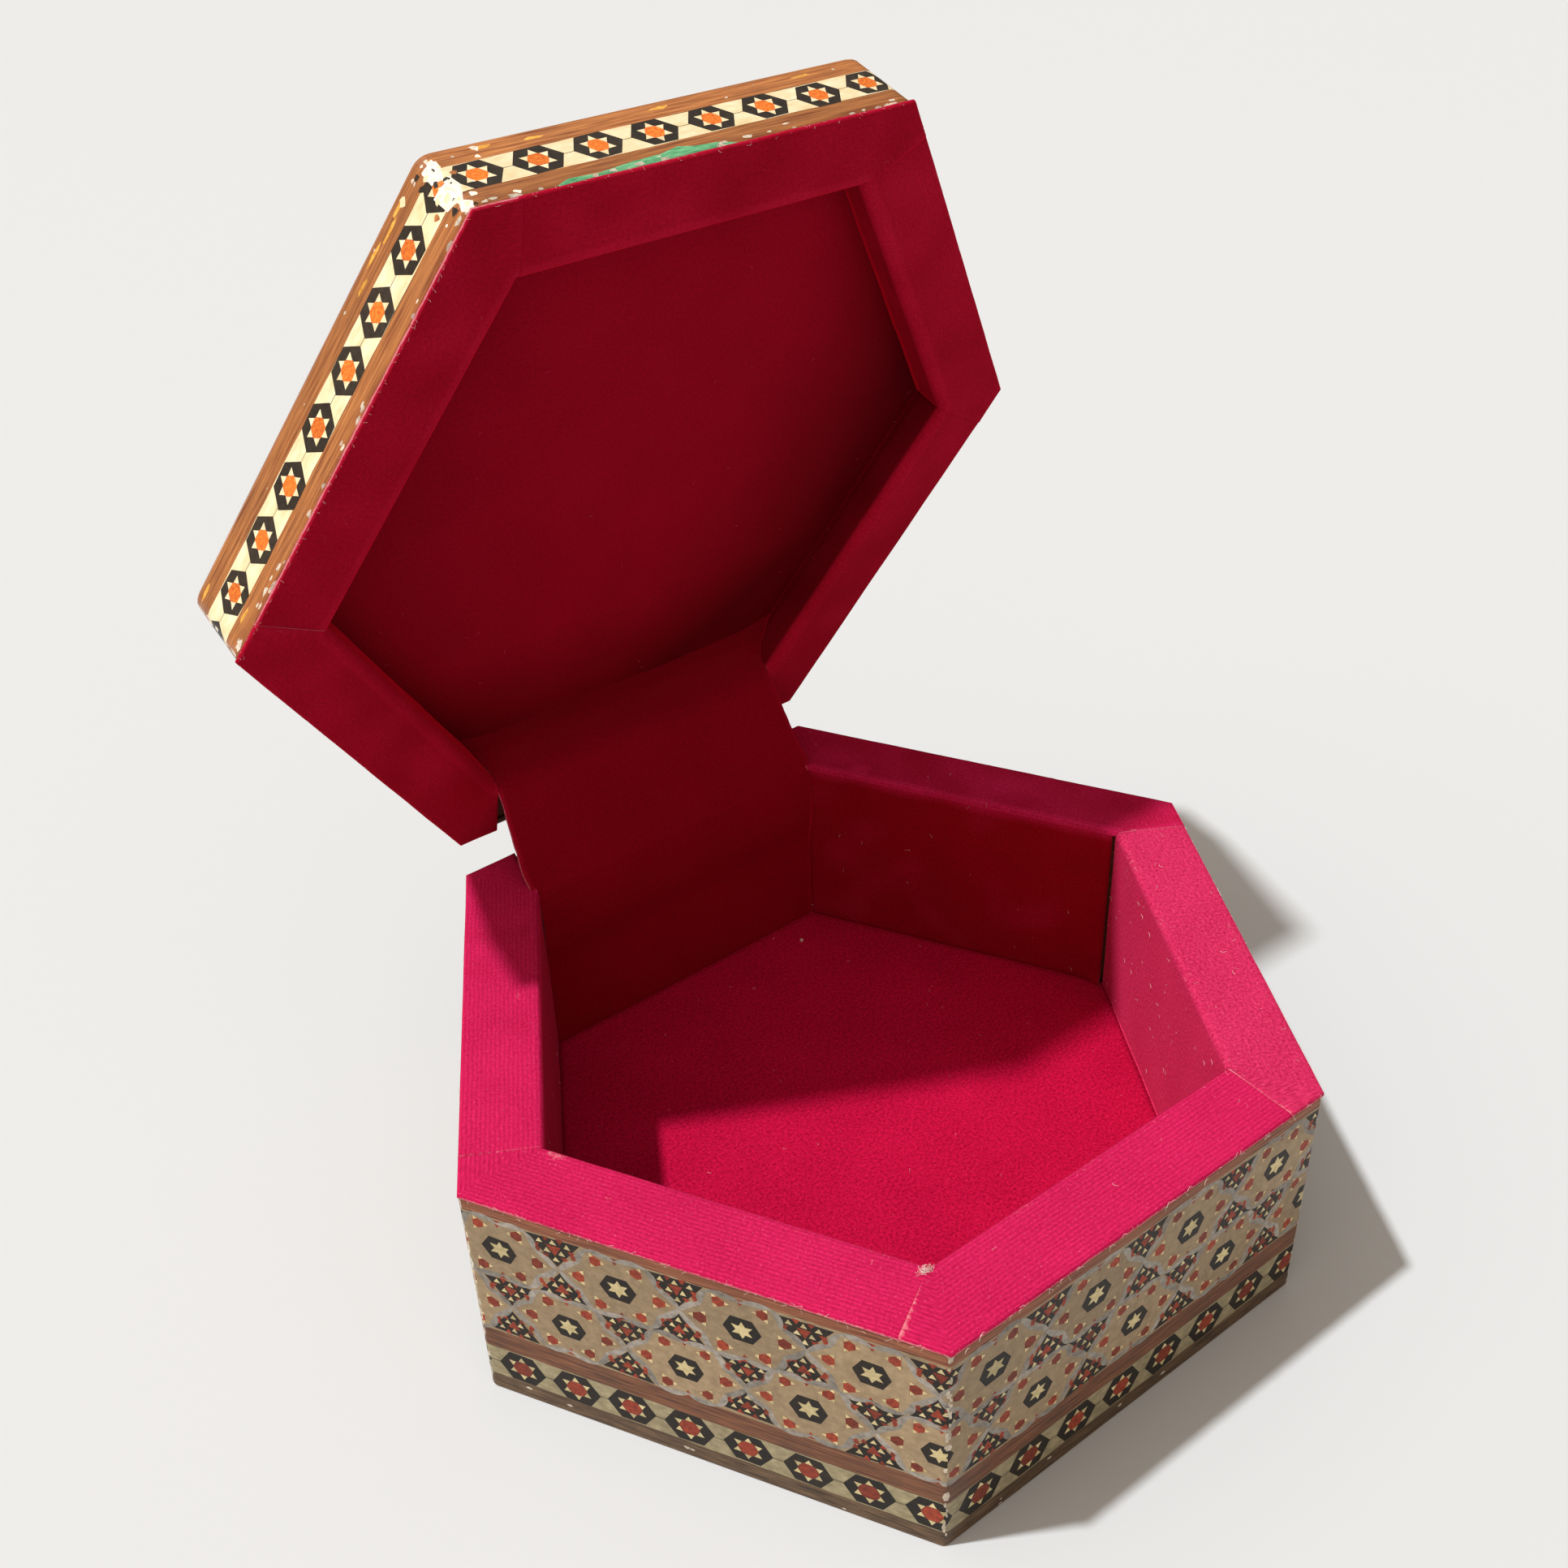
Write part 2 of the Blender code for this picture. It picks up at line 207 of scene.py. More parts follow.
def lacquered(name, dark, light, streaks=(0.35, 3.2), spread=0.24, gloss=0.15, dirt=0.35, bump=0.05):
    """streaks is how often the grain changes per millimetre along and across the sheet."""
    material, tree, shader = start_material(name)
    sheet = add_node(tree, "ShaderNodeUVMap", uv_map="face_mm").outputs[0]
    stretched = add_node(tree, "ShaderNodeMapping", {"Vector": sheet, "Scale": (*streaks, 1)}).outputs[0]
    grain = add_node(tree, NOISE,
                     {"Vector": stretched, "Scale": 1.0, "Detail": 5.0, "Roughness": 0.62}).outputs[0]
    share = add_node(tree, MAP_RANGE, {0: grain, 1: 0.32, 2: 0.68}).outputs[0]
    colour = add_node(tree, MIX, {0: share, 6: linear(dark), 7: linear(light)}, data_type="RGBA").outputs[2]
    tone = add_node(tree, "ShaderNodeAttribute", attribute_name="tone").outputs["Fac"]
    level = add_node(tree, MAP_RANGE, {0: tone, 3: 1 - spread, 4: 1 + spread}).outputs[0]
    level_colour = add_node(tree, "ShaderNodeCombineColor", {0: level, 1: level, 2: level}).outputs[0]
    colour = add_node(tree, MIX, {0: 1.0, 6: colour, 7: level_colour},
                      data_type="RGBA", blend_type="MULTIPLY").outputs[2]
    blotches = add_node(tree, NOISE,
                        {"Vector": sheet, "Scale": 0.16, "Detail": 6.0, "Roughness": 0.7}).outputs[0]
    soiled = add_node(tree, MAP_RANGE, {0: blotches, 1: 0.5, 2: 0.75, 4: dirt}).outputs[0]
    colour = add_node(tree, MIX, {0: soiled, 6: colour, 7: linear(DIRT)}, data_type="RGBA").outputs[2]
    tree.links.new(colour, shader.inputs["Base Color"])
    shader.inputs["Roughness"].default_value = 0.6
    shader.inputs["Specular IOR Level"].default_value = 0.2
    shader.inputs["Coat Weight"].default_value = gloss
    shader.inputs["Coat Roughness"].default_value = 0.22
    # the lacquer lies in low waves and sinks a little into the grain
    waves = add_node(tree, NOISE, {"Vector": sheet, "Scale": 0.55, "Detail": 3.0}).outputs[0]
    relief = add_node(tree, MATH, {0: grain, 1: 0.35, 2: waves}, operation="MULTIPLY_ADD").outputs[0]
    bumped = add_node(tree, "ShaderNodeBump",
                      {"Strength": 0.35, "Distance": bump * MM, "Height": relief}).outputs[0]
    tree.links.new(bumped, shader.inputs["Normal"])
    tree.links.new(bumped, shader.inputs["Coat Normal"])
    return material


# %% The woods and bones of the sheet
# The rods are orange wood, ebony, wood dyed with madder, camel bone and a grey-stained wood. The lid's bone,
# ebony and strips are lighter than the base's bone, olive bone, ebony and strips. This is partly old lacquer
# that yellowed and dirtied the base more, and partly painted light on the lid and painted shade on the base.
WOODS = {
    "tan": lacquered("orange wood, lacquered", "#8d7a5e", "#a69273", (0.8, 0.8), 0.12, dirt=0.35),
    "ebony": lacquered("ebony, lacquered", "#130e08", "#251b11", (1.0, 1.0), 0.3, 0.12, 0.1),
    "red": lacquered("madder-dyed wood, lacquered", "#6b1f10", "#9e3d1e", (1.5, 1.5), 0.35, dirt=0.2),
    "bone": lacquered("yellowed bone with painted shade, lacquered", "#b7a877", "#dccfa0", (1.2, 1.2), 0.2, dirt=0.15),
    "grey": lacquered("grey-stained wood, lacquered", "#77726a", "#a6a199", (0.9, 0.9), 0.24, dirt=0.3),
    "strip": lacquered("walnut strip, lacquered", "#43251a", "#86583c", (0.12, 2.2), 0.15, dirt=0.6),
    "top_strip": lacquered("reddish strip under the velvet", "#5c2c1a", "#a3694a", (0.12, 2.4), 0.15,
                           dirt=0.3),
    "filler": lacquered("pale chipped filler", "#a89f8e", "#e4dccb", (2.0, 2.0), 0.2, 0.1, 0.3),
    "olive": lacquered("olive-stained bone with painted shade, lacquered", "#857c5f", "#afa583", (0.6, 0.9), 0.12, dirt=0.45),
    "foot": lacquered("dirty foot strip", "#2f2318", "#7c6247", (0.16, 1.6), 0.15, dirt=0.9),
    "orange": lacquered("orange-dyed bone, lacquered", "#c24a0c", "#f08a2c", (2.4, 2.4), 0.15, 0.5, 0.0),
    # the lid's bone, ebony and strip below are lighter copies: partly cleaner lacquer, partly painted light
    "ivory": lacquered("clean camel bone with painted light, lacquered", "#dcc794", "#f6e8c6", (0.3, 0.8), 0.06, 0.6, 0.0),
    "jet": lacquered("clean ebony with painted light, lacquered", "#15110d", "#2e261d", (1.0, 1.0), 0.3, 0.5, 0.0),
    "lid_strip": lacquered("reddish walnut strip, lacquered", "#753b1a", "#bf7d44", (0.10, 2.4), 0.14,
                           0.6, 0.25),
    "white": lacquered("broken white filler", "#d9cdb8", "#fbf6ea", (1.5, 1.5), 0.12, 0.4, 0.0),
    "green": lacquered("green-stained wood", "#1d8a50", "#93e0ab", (0.4, 2.8), 0.2, 0.5, 0.0),
    # painted glints: yellow flakes of colour for light caught on the lacquer
    "glint": lacquered("painted yellow glint", "#c4821c", "#f2b850", (1.5, 1.5), 0.2, 1.0, 0.0),
    "backing": lacquered("bare walnut edge", "#3a2416", "#5c3d27", (0.3, 2.0), 0.1, 0.0, 0.3),
}
WOOD_ORDER = list(WOODS)
print("marquetry materials", len(WOODS))

# %% [markdown]
# ## Motifs of the inlay
# A khatam sheet repeats two bundles. The star is a black hexagon with six bone points around a red
# core. The rosette is a tan star outlined by grey bars, with a bone star in its heart and a small red
# and bone triangle in each of its points. Black triangles fill the room between rosettes. Each motif
# is a flat mesh of polygons. Every polygon knows its wood and its layer: a higher layer is let in on
# top of a lower one, as the knife would cut it.


# %% Drawing helpers
def ring(count, radius, start=0.0, centre=(0, 0), squash=1.0):
    points = []
    for step in range(count):
        angle = math.radians(start) + 2 * math.pi * step / count
        points.append((centre[0] + radius * math.cos(angle), centre[1] + radius * math.sin(angle) * squash))
    return points


def star(points, outer, inner, start):
    tips = ring(points, outer, start)
    notches = ring(points, inner, start + 180 / points)
    return [point for pair in zip(tips, notches) for point in pair]


def lens(start, end, width, bow):
    """A petal-shaped bar from start to end, widest in the middle and bowed to its left."""
    a, b = Vector(start), Vector(end)
    along = (b - a)
    across = Vector((-along.y, along.x)).normalized()
    left, right_edge = [], []
    for step in range(6):
        share = step / 5
        swell = math.sin(math.pi * share) ** 0.7 if 0 < share < 1 else 0
        middle = a + along * share + across * bow * 4 * share * (1 - share)
        half = width * (0.18 + 0.32 * swell)
        left.append(tuple(middle + across * half))
        right_edge.append(tuple(middle - across * half))
    return left + right_edge[::-1]


def template(name, pieces):
    """A motif as a flat mesh. pieces is a list of (wood, layer, points)."""
    mesh = bpy.data.meshes.new(name)
    model = bmesh.new()
    wood_layer = model.faces.layers.int.new("wood")
    depth_layer = model.faces.layers.int.new("layer")
    for wood, layer, points in pieces:
        face = model.faces.new([model.verts.new((x, y, 0)) for x, y in points])
        face[wood_layer] = WOOD_ORDER.index(wood)
        face[depth_layer] = layer
    model.to_mesh(mesh)
    model.free()
    motif = bpy.data.objects.new(name, mesh)
    bpy.context.scene.collection.objects.link(motif)
    return motif


# %% The rosette, the black triangles and the star
PITCH = 17.0
ROW_STEP = 11.2
STAR_PITCH = 8.35
LID_STAR_PITCH = 8.25
POINT_SIDE = 8.45
POINT_DIAGONAL = (4.2, 5.55)
NOTCH_SIDE = (5.35, 2.7)
NOTCH_TOP = 5.15


def tipped_triangle(centre, direction, side):
    """A red triangle with a bone tip in each corner, pointing in a direction in degrees."""
    pieces = [("red", 3, ring(3, side / math.sqrt(3), direction, centre))]
    for tip in ring(3, side / math.sqrt(3) * 0.68, direction, centre):
        pieces.append(("bone", 4, ring(3, side * 0.16, direction, tip)))
    return pieces


def rosette_pieces():
    x, y = POINT_DIAGONAL
    notch_x, notch_y = NOTCH_SIDE
    outline = [(POINT_SIDE, 0), NOTCH_SIDE, (x, y), (0, NOTCH_TOP), (-x, y), (-notch_x, notch_y),
               (-POINT_SIDE, 0), (-notch_x, -notch_y), (-x, -y), (0, -NOTCH_TOP), (x, -y),
               (notch_x, -notch_y)]
    pieces = [("tan", 1, outline)]
    for step, point in enumerate(outline):
        following = outline[(step + 1) % len(outline)]
        pieces.append(("grey", 5, lens(point, following, 1.0, -0.34)))
    for angle in (0, 180):
        pieces += tipped_triangle((5.62 * math.cos(math.radians(angle)), 0), angle, 2.9)
    for sign_x in (1, -1):
        for sign_y in (1, -1):
            direction = math.degrees(math.atan2(sign_y * 4.3, sign_x * 2.9))
            pieces += tipped_triangle((sign_x * 2.85, sign_y * 4.05), direction + 4 * sign_x * sign_y, 2.7)
    for sign_x in (1, -1):
        for sign_y in (1, -1):
            corner = (sign_x * 5.95, sign_y * 3.35)
            pieces.append(("red", 2, ring(3, 0.85, math.degrees(math.atan2(sign_y * 0.9, sign_x)), corner)))
    for sign_y in (1, -1):
        pieces.append(("red", 3, ring(3, 0.9, 90 * sign_y + 180, (0, sign_y * 5.3))))
    heart = [(2.6, 0), (1.4, 2.15), (-1.4, 2.15), (-2.6, 0), (-1.4, -2.15), (1.4, -2.15)]
    pieces.append(("ebony", 3, heart))
    pieces.append(("bone", 4, star(6, 1.6, 0.85, 30)))
    return pieces


def filler_triangle_pieces(pointing):
    """The black triangle above (pointing -1, down) or below (pointing 1, up) a crossing."""
    pieces = [("ebony", 2, [(0, -0.55 * pointing), (3.85, -5.6 * pointing), (-3.85, -5.6 * pointing)])]
    pieces.append(("red", 3, ring(3, 1.15, 90 * pointing, (0, -3.75 * pointing))))
    for x, y in [(1.3, -2.3), (2.5, -3.85), (1.0, -5.45)]:
        for sign in (1, -1):
            pieces.append(("red", 3, ring(3, 0.62, 90 * pointing, (sign * x, y * pointing))))
    rows = [(0, -1.9), (-0.98, -3.25), (0.98, -3.25), (-1.95, -4.72), (0, -4.82), (1.95, -4.72)]
    for x, y in rows:
        pieces.append(("bone", 4, ring(3, 0.55, 90, (x, y * pointing))))
    return pieces


def star_pieces(core, points, black, width, height, tip_size):
    tall = height / 2
    wide = width / 2
    shoulder = wide * 0.5
    hexagon = [(wide, 0), (shoulder, tall), (-shoulder, tall),
               (-wide, 0), (-shoulder, -tall), (shoulder, -tall)]
    pieces = [(black, 2, hexagon), (core, 3, ring(6, tall * 0.54, 0))]
    for tip in ring(6, tall * 0.6, 30):
        angle = math.degrees(math.atan2(tip[1], tip[0]))
        pieces.append((points, 4, ring(3, tall * tip_size, angle, tip)))
    return pieces


rosette = template("rosette", rosette_pieces())
triangle_up = template("triangle_up", filler_triangle_pieces(1))
triangle_down = template("triangle_down", filler_triangle_pieces(-1))
base_star = template("base_star", star_pieces("red", "bone", "ebony", 7.2, 5.75, 0.215))
lid_star = template("lid_star", star_pieces("orange", "ivory", "jet", 6.9, 5.25, 0.25))
print("rosette polygons", len(rosette.data.polygons))

# %% [markdown]
# ## Laying a row with Geometry Nodes
# The craftsman lays the same sawn slice over and over along the face. A Geometry Nodes tree does that: a line
# of points, each a little off its place, turned and sized a little by chance, gets the motif. The tree ends
# in Realize Instances and one Set Material for each wood. All its sizes are named inputs.


# %% The tree that lays a row of motifs
def row_tree():
    tree = bpy.data.node_groups.new("row_of_motifs", "GeometryNodeTree")
    sockets = [("Geometry", "NodeSocketGeometry"), ("Motif", "NodeSocketObject"), ("Count", "NodeSocketInt"),
               ("Pitch", "NodeSocketFloat"), ("First", "NodeSocketVector"), ("Wander", "NodeSocketFloat"),
               ("Twist", "NodeSocketFloat"), ("Size spread", "NodeSocketFloat"), ("Seed", "NodeSocketInt")]
    sockets += [(wood, "NodeSocketMaterial") for wood in WOOD_ORDER]
    for name, kind in sockets:
        tree.interface.new_socket(name, in_out="INPUT", socket_type=kind)
    tree.interface.new_socket("Geometry", in_out="OUTPUT", socket_type="NodeSocketGeometry")
    given = tree.nodes.new("NodeGroupInput").outputs
    step = add_node(tree, "ShaderNodeCombineXYZ", {0: given["Pitch"]}).outputs[0]
    line = add_node(tree, "GeometryNodeMeshLine",
                    {"Count": given["Count"], "Start Location": given["First"], "Offset": step},
                    mode="OFFSET").outputs[0]
    low = add_node(tree, MATH, {0: given["Wander"], 1: -1.0}, operation="MULTIPLY").outputs[0]
    low_corner = add_node(tree, "ShaderNodeCombineXYZ", {0: low, 1: low}).outputs[0]
    high_corner = add_node(tree, "ShaderNodeCombineXYZ", {0: given["Wander"], 1: given["Wander"]}).outputs[0]
    shift = add_node(tree, "FunctionNodeRandomValue",
                     {0: low_corner, 1: high_corner, "Seed": given["Seed"]},
                     data_type="FLOAT_VECTOR").outputs[0]
    placed = add_node(tree, "GeometryNodeSetPosition", {"Geometry": line, "Offset": shift}).outputs[0]
    motif = add_node(tree, "GeometryNodeObjectInfo", {"Object": given["Motif"]}).outputs["Geometry"]
    turn_low = add_node(tree, MATH, {0: given["Twist"], 1: -1.0}, operation="MULTIPLY").outputs[0]
    turn = add_node(tree, "FunctionNodeRandomValue",
                    {2: turn_low, 3: given["Twist"], "Seed": given["Seed"]}, data_type="FLOAT").outputs[1]
    rotation = add_node(tree, "ShaderNodeCombineXYZ", {2: turn}).outputs[0]
    small = add_node(tree, MATH, {0: 1.0, 1: given["Size spread"]}, operation="SUBTRACT").outputs[0]
    large = add_node(tree, MATH, {0: 1.0, 1: given["Size spread"]}, operation="ADD").outputs[0]
    size = add_node(tree, "FunctionNodeRandomValue",
                    {2: small, 3: large, "Seed": given["Seed"]}, data_type="FLOAT").outputs[1]
    laid = add_node(tree, "GeometryNodeInstanceOnPoints",
                    {"Points": placed, "Instance": motif, "Rotation": rotation, "Scale": size}).outputs[0]
    result = add_node(tree, "GeometryNodeRealizeInstances", {"Geometry": laid}).outputs[0]
    wood = add_node(tree, "GeometryNodeInputNamedAttribute", {"Name": "wood"}, data_type="INT").outputs[0]
    for number, name in enumerate(WOOD_ORDER):
        chosen = add_node(tree, "FunctionNodeCompare", {2: wood, 3: number},
                          data_type="INT", operation="EQUAL").outputs[0]
        result = add_node(tree, "GeometryNodeSetMaterial",
                          {"Geometry": result, "Selection": chosen, "Material": given[name]}).outputs[0]
    tree.links.new(result, tree.nodes.new("NodeGroupOutput").inputs[0])
    return tree


row_of_motifs = row_tree()


# %% Lay rows and read back the cut polygons
def set_inputs(modifier, values):
    """Fill a Geometry Nodes modifier's inputs, found by name and set by identifier."""
    for item in modifier.node_group.interface.items_tree:
        if item.item_type == "SOCKET" and item.in_out == "INPUT" and item.name in values:
            modifier[item.identifier] = values[item.name]


def evaluated_mesh(host):
    depsgraph = bpy.context.evaluated_depsgraph_get()
    return bpy.data.meshes.new_from_object(host.evaluated_get(depsgraph))


def lay_row(motif, first, count, pitch, height, seed, wander=0.16, twist=2.5, spread=0.025):
    """Lay a row of motifs and give its polygons as (wood, layer, points)."""
    host = bpy.data.objects.new("row", bpy.data.meshes.new("row"))
    bpy.context.scene.collection.objects.link(host)
    nodes = host.modifiers.new("row_of_motifs", "NODES")
    nodes.node_group = row_of_motifs
    set_inputs(nodes, {"Motif": motif, "Count": count, "Pitch": pitch, "First": (first, height, 0.0),
                       "Wander": wander, "Twist": math.radians(twist), "Size spread": spread,
                       "Seed": seed, **WOODS})
    mesh = evaluated_mesh(host)
    names = [material.name if material else "" for material in mesh.materials]
    layers = mesh.attributes["layer"].data
    by_name = {material.name: wood for wood, material in WOODS.items()}
    polygons = []
    for polygon in mesh.polygons:
        points = [tuple(mesh.vertices[number].co[:2]) for number in polygon.vertices]
        polygons.append((by_name[names[polygon.material_index]], layers[polygon.index].value, points))
    bpy.data.objects.remove(host)
    bpy.data.meshes.remove(mesh)
    return polygons


def hand_cut(polygons, amount, reach, seed):
    """Push every point by one smooth field, as a hand-sawn rod is never quite true."""
    moved = []
    for wood, layer, points in polygons:
        warped = []
        for x, y in points:
            place = Vector((x / reach, y / reach, seed * 7.3))
            push = noise.noise_vector(place) * amount
            warped.append((x + push.x, y + push.y))
        moved.append((wood, layer, warped))
    return moved


print("polygons in a row of eight stars", len(lay_row(base_star, 5.9, 8, STAR_PITCH, 0, 3)))

# %% [markdown]
# ## Letting the inlay in
# The pieces of khatam lie flush, so the sheet is one flat surface parted into many small faces. A
# constrained Delaunay triangulation gives that parting: all polygons go in, and each face that comes
# out belongs to the highest layer that covers it. The flat sheet is then bent round the rounded
# corners of the box and closed behind, so each side is a solid sheet whose pattern is real geometry.


# %% Part a flat sheet by its polygons
def doubled_area(shape):
    return sum(a[0] * b[1] - b[0] * a[1] for a, b in zip(shape, shape[1:] + shape[:1]))


def parted(polygons, outline, fold_lines):
    """Give (points, faces, owners): faces as point numbers, owners as numbers into polygons."""
    points, edges, faces = [], [], []
    for shape in [outline] + [piece[2] for piece in polygons]:
        first = len(points)
        points += [Vector(point) for point in shape]
        numbers = list(range(first, first + len(shape)))
        # the triangulation takes what lies to the left of a polygon's edges as its inside
        faces.append(numbers if doubled_area(shape) > 0 else numbers[::-1])
    for start, end in fold_lines:
        edges.append((len(points), len(points) + 1))
        points += [Vector(start), Vector(end)]
    out_points, _, out_faces, _, _, sources = delaunay_2d_cdt(points, edges, faces, 4, 1e-4)
    kept, owners = [], []
    for face, source in zip(out_faces, sources):
        if 0 not in source:
            continue
        covering = [number - 1 for number in source if number > 0]
        if not covering:
            continue
        owners.append(max(covering, key=lambda number: (polygons[number][1], number)))
        kept.append(face)
    return out_points, kept, owners


# %% Make a solid sheet out of the parted face
def closed_sheet(name, polygons, outline, fold_lines, bend, behind, place, seed):
    """bend gives a face point's place, behind the place of an edge point on the back of the sheet."""
    points, faces, owners = parted(polygons, outline, fold_lines)
    chance = random.Random(seed)
    tones = [chance.random() for _ in polygons]
    model = bmesh.new()
    tone_layer = model.faces.layers.float.new("tone")
    map_layer = model.loops.layers.uv.new("face_mm")
    flat = {}
    made = {}
    for face, owner in zip(faces, owners):
        for number in face:
            if number not in made:
                made[number] = model.verts.new(bend(*points[number]))
                flat[made[number]] = points[number]
        corners = [made[number] for number in face]
        new_face = model.faces.new(corners)
        new_face.material_index = WOOD_ORDER.index(polygons[owner][0])
        new_face[tone_layer] = tones[owner]
        for loop in new_face.loops:
            loop[map_layer].uv = flat[loop.vert]
    border = [edge for edge in model.edges if edge.is_boundary]
    rim_tone = 0.5
    backs = {}
    for edge in border:
        for vert in edge.verts:
            if vert not in backs:
                backs[vert] = model.verts.new(behind(*flat[vert], vert.co))
    for edge in border:
        loop = edge.link_loops[0]
        first, second = loop.vert, loop.link_loop_next.vert
        side = model.faces.new((second, first, backs[first], backs[second]))
        side.material_index = WOOD_ORDER.index("backing")
        side[tone_layer] = rim_tone
        for corner in side.loops:
            corner[map_layer].uv = corner.vert.co.xz
    back_edges = [model.edges.get((backs[edge.verts[0]], backs[edge.verts[1]])) for edge in border]
    filled = bmesh.ops.holes_fill(model, edges=back_edges, sides=0)["faces"]
    for face in filled:
        face.material_index = WOOD_ORDER.index("backing")
        face[tone_layer] = rim_tone
        for corner in face.loops:
            corner[map_layer].uv = corner.vert.co.xz
    bmesh.ops.recalc_face_normals(model, faces=model.faces)
    bmesh.ops.transform(model, matrix=to_metres @ place, verts=model.verts)
    mesh = bpy.data.meshes.new(name)
    model.to_mesh(mesh)
    model.free()
    for wood in WOOD_ORDER:
        mesh.materials.append(WOODS[wood])
    sheet = bpy.data.objects.new(name, mesh)
    bpy.context.scene.collection.objects.link(sheet)
    return sheet


# %% The bend of a side sheet round its corners and edges
def side_bend(distance, thickness, bottom, top, corner, edge):
    """Functions for a side whose corners are rounded by one radius and whose long edges by another."""
    straight = (distance - corner) * TAN_HALF
    reach = straight + corner * HALF_CORNER
    low, high = bottom + edge, top - edge
    arc = edge * math.pi / 2

    def bend(u, v):
        turn = max(0.0, abs(u) - straight) / corner
        across = min(abs(u), straight) + corner * math.sin(turn)
        inward = corner * (1 - math.cos(turn))
        tilt = (max(0.0, v - high) - max(0.0, low - v)) / edge
        z = min(max(v, low), high) + edge * math.sin(tilt)
        sunk = edge * (1 - math.cos(tilt))
        across *= (distance - sunk) / distance
        return (-math.copysign(across, u), distance - inward - sunk, z)

    def behind(u, v, front):
        share = (distance - thickness) / front[1]
        return (front[0] * share, distance - thickness, front[2])

    outline = [(-reach, low - arc), (reach, low - arc), (reach, high + arc), (-reach, high + arc)]
    folds = []
    for sign in (-1, 1):
        for share in (0, 0.5):
            x = sign * (straight + (reach - straight) * share)
            folds.append(((x, low - arc), (x, high + arc)))
    for y in (low, low - arc / 2, high, high + arc / 2):
        folds.append(((-reach, y), (reach, y)))
    return bend, behind, outline, folds, reach


# %% Straight strips, bands and chips
def strip(wood, bottom, top, reach, seed, layer=0, wobble=0.07):
    """A long strip with slightly wavy edges."""
    chance = random.Random(seed)
    steps = 24
    places = [-reach - 1 + (2 * reach + 2) * step / steps for step in range(steps + 1)]
    lower = [(x, bottom + chance.uniform(-wobble, wobble)) for x in places]
    upper = [(x, top + chance.uniform(-wobble, wobble)) for x in places]
    return (wood, layer, lower + upper[::-1])


def chip(wood, centre, size, seed, layer=8, stretch=1.0):
    """A small ragged flake."""
    chance = random.Random(seed)
    count = chance.randint(5, 8)
    points = []
    for step in range(count):
        angle = 2 * math.pi * (step + chance.uniform(-0.25, 0.25)) / count
        radius = size * chance.uniform(0.45, 1.0)
        points.append((centre[0] + radius * stretch * math.cos(angle), centre[1] + radius * math.sin(angle)))
    return (wood, layer, points)


def corner_filler(reach, bottom, top, seed, share=0.5, width=0.5):
    """Broken pale filler down both corners of a side."""
    chance = random.Random(seed)
    dashes = []
    for sign in (-1, 1):
        height = bottom
        while height < top:
            length = chance.uniform(0.5, 2.6)
            if chance.random() < share:
                inner = sign * (reach - chance.uniform(0.15, width))
                middle = sign * (reach - chance.uniform(0.1, width * 1.3))
                outer = sign * (reach + 1)
                end = height + length
                points = [(outer, height), (inner, height + 0.1), (middle, height + length / 2),
                          (inner, end - 0.1), (outer, end)]
                dashes.append(("filler", 7, points if sign < 0 else points[::-1]))
            height += length + chance.uniform(0.1, 0.9)
    return dashes


# %% [markdown]
# ## The base's marquetry
# From the top down each side has a thin brown strip, a field of two rows of rosettes, a brown strip, a
# band of black stars on olive bone, and a dirty brown strip. On the two sides that the photograph
# shows, the rows start where they start there. The other four sides are the same work, shifted.

# %% Heights of the base's bands in millimetres
VENEER_TOP = 37.85
TOP_STRIP = (36.1, 38.4)
FIELD = (12.85, 36.1)
MIDDLE_STRIP = (9.15, 12.85)
STAR_BAND = (3.1, 9.15)
FIRST_ROW = FIELD[1] - 6.1
SECOND_ROW = FIRST_ROW - ROW_STEP
HALF_SIDE = 33.0


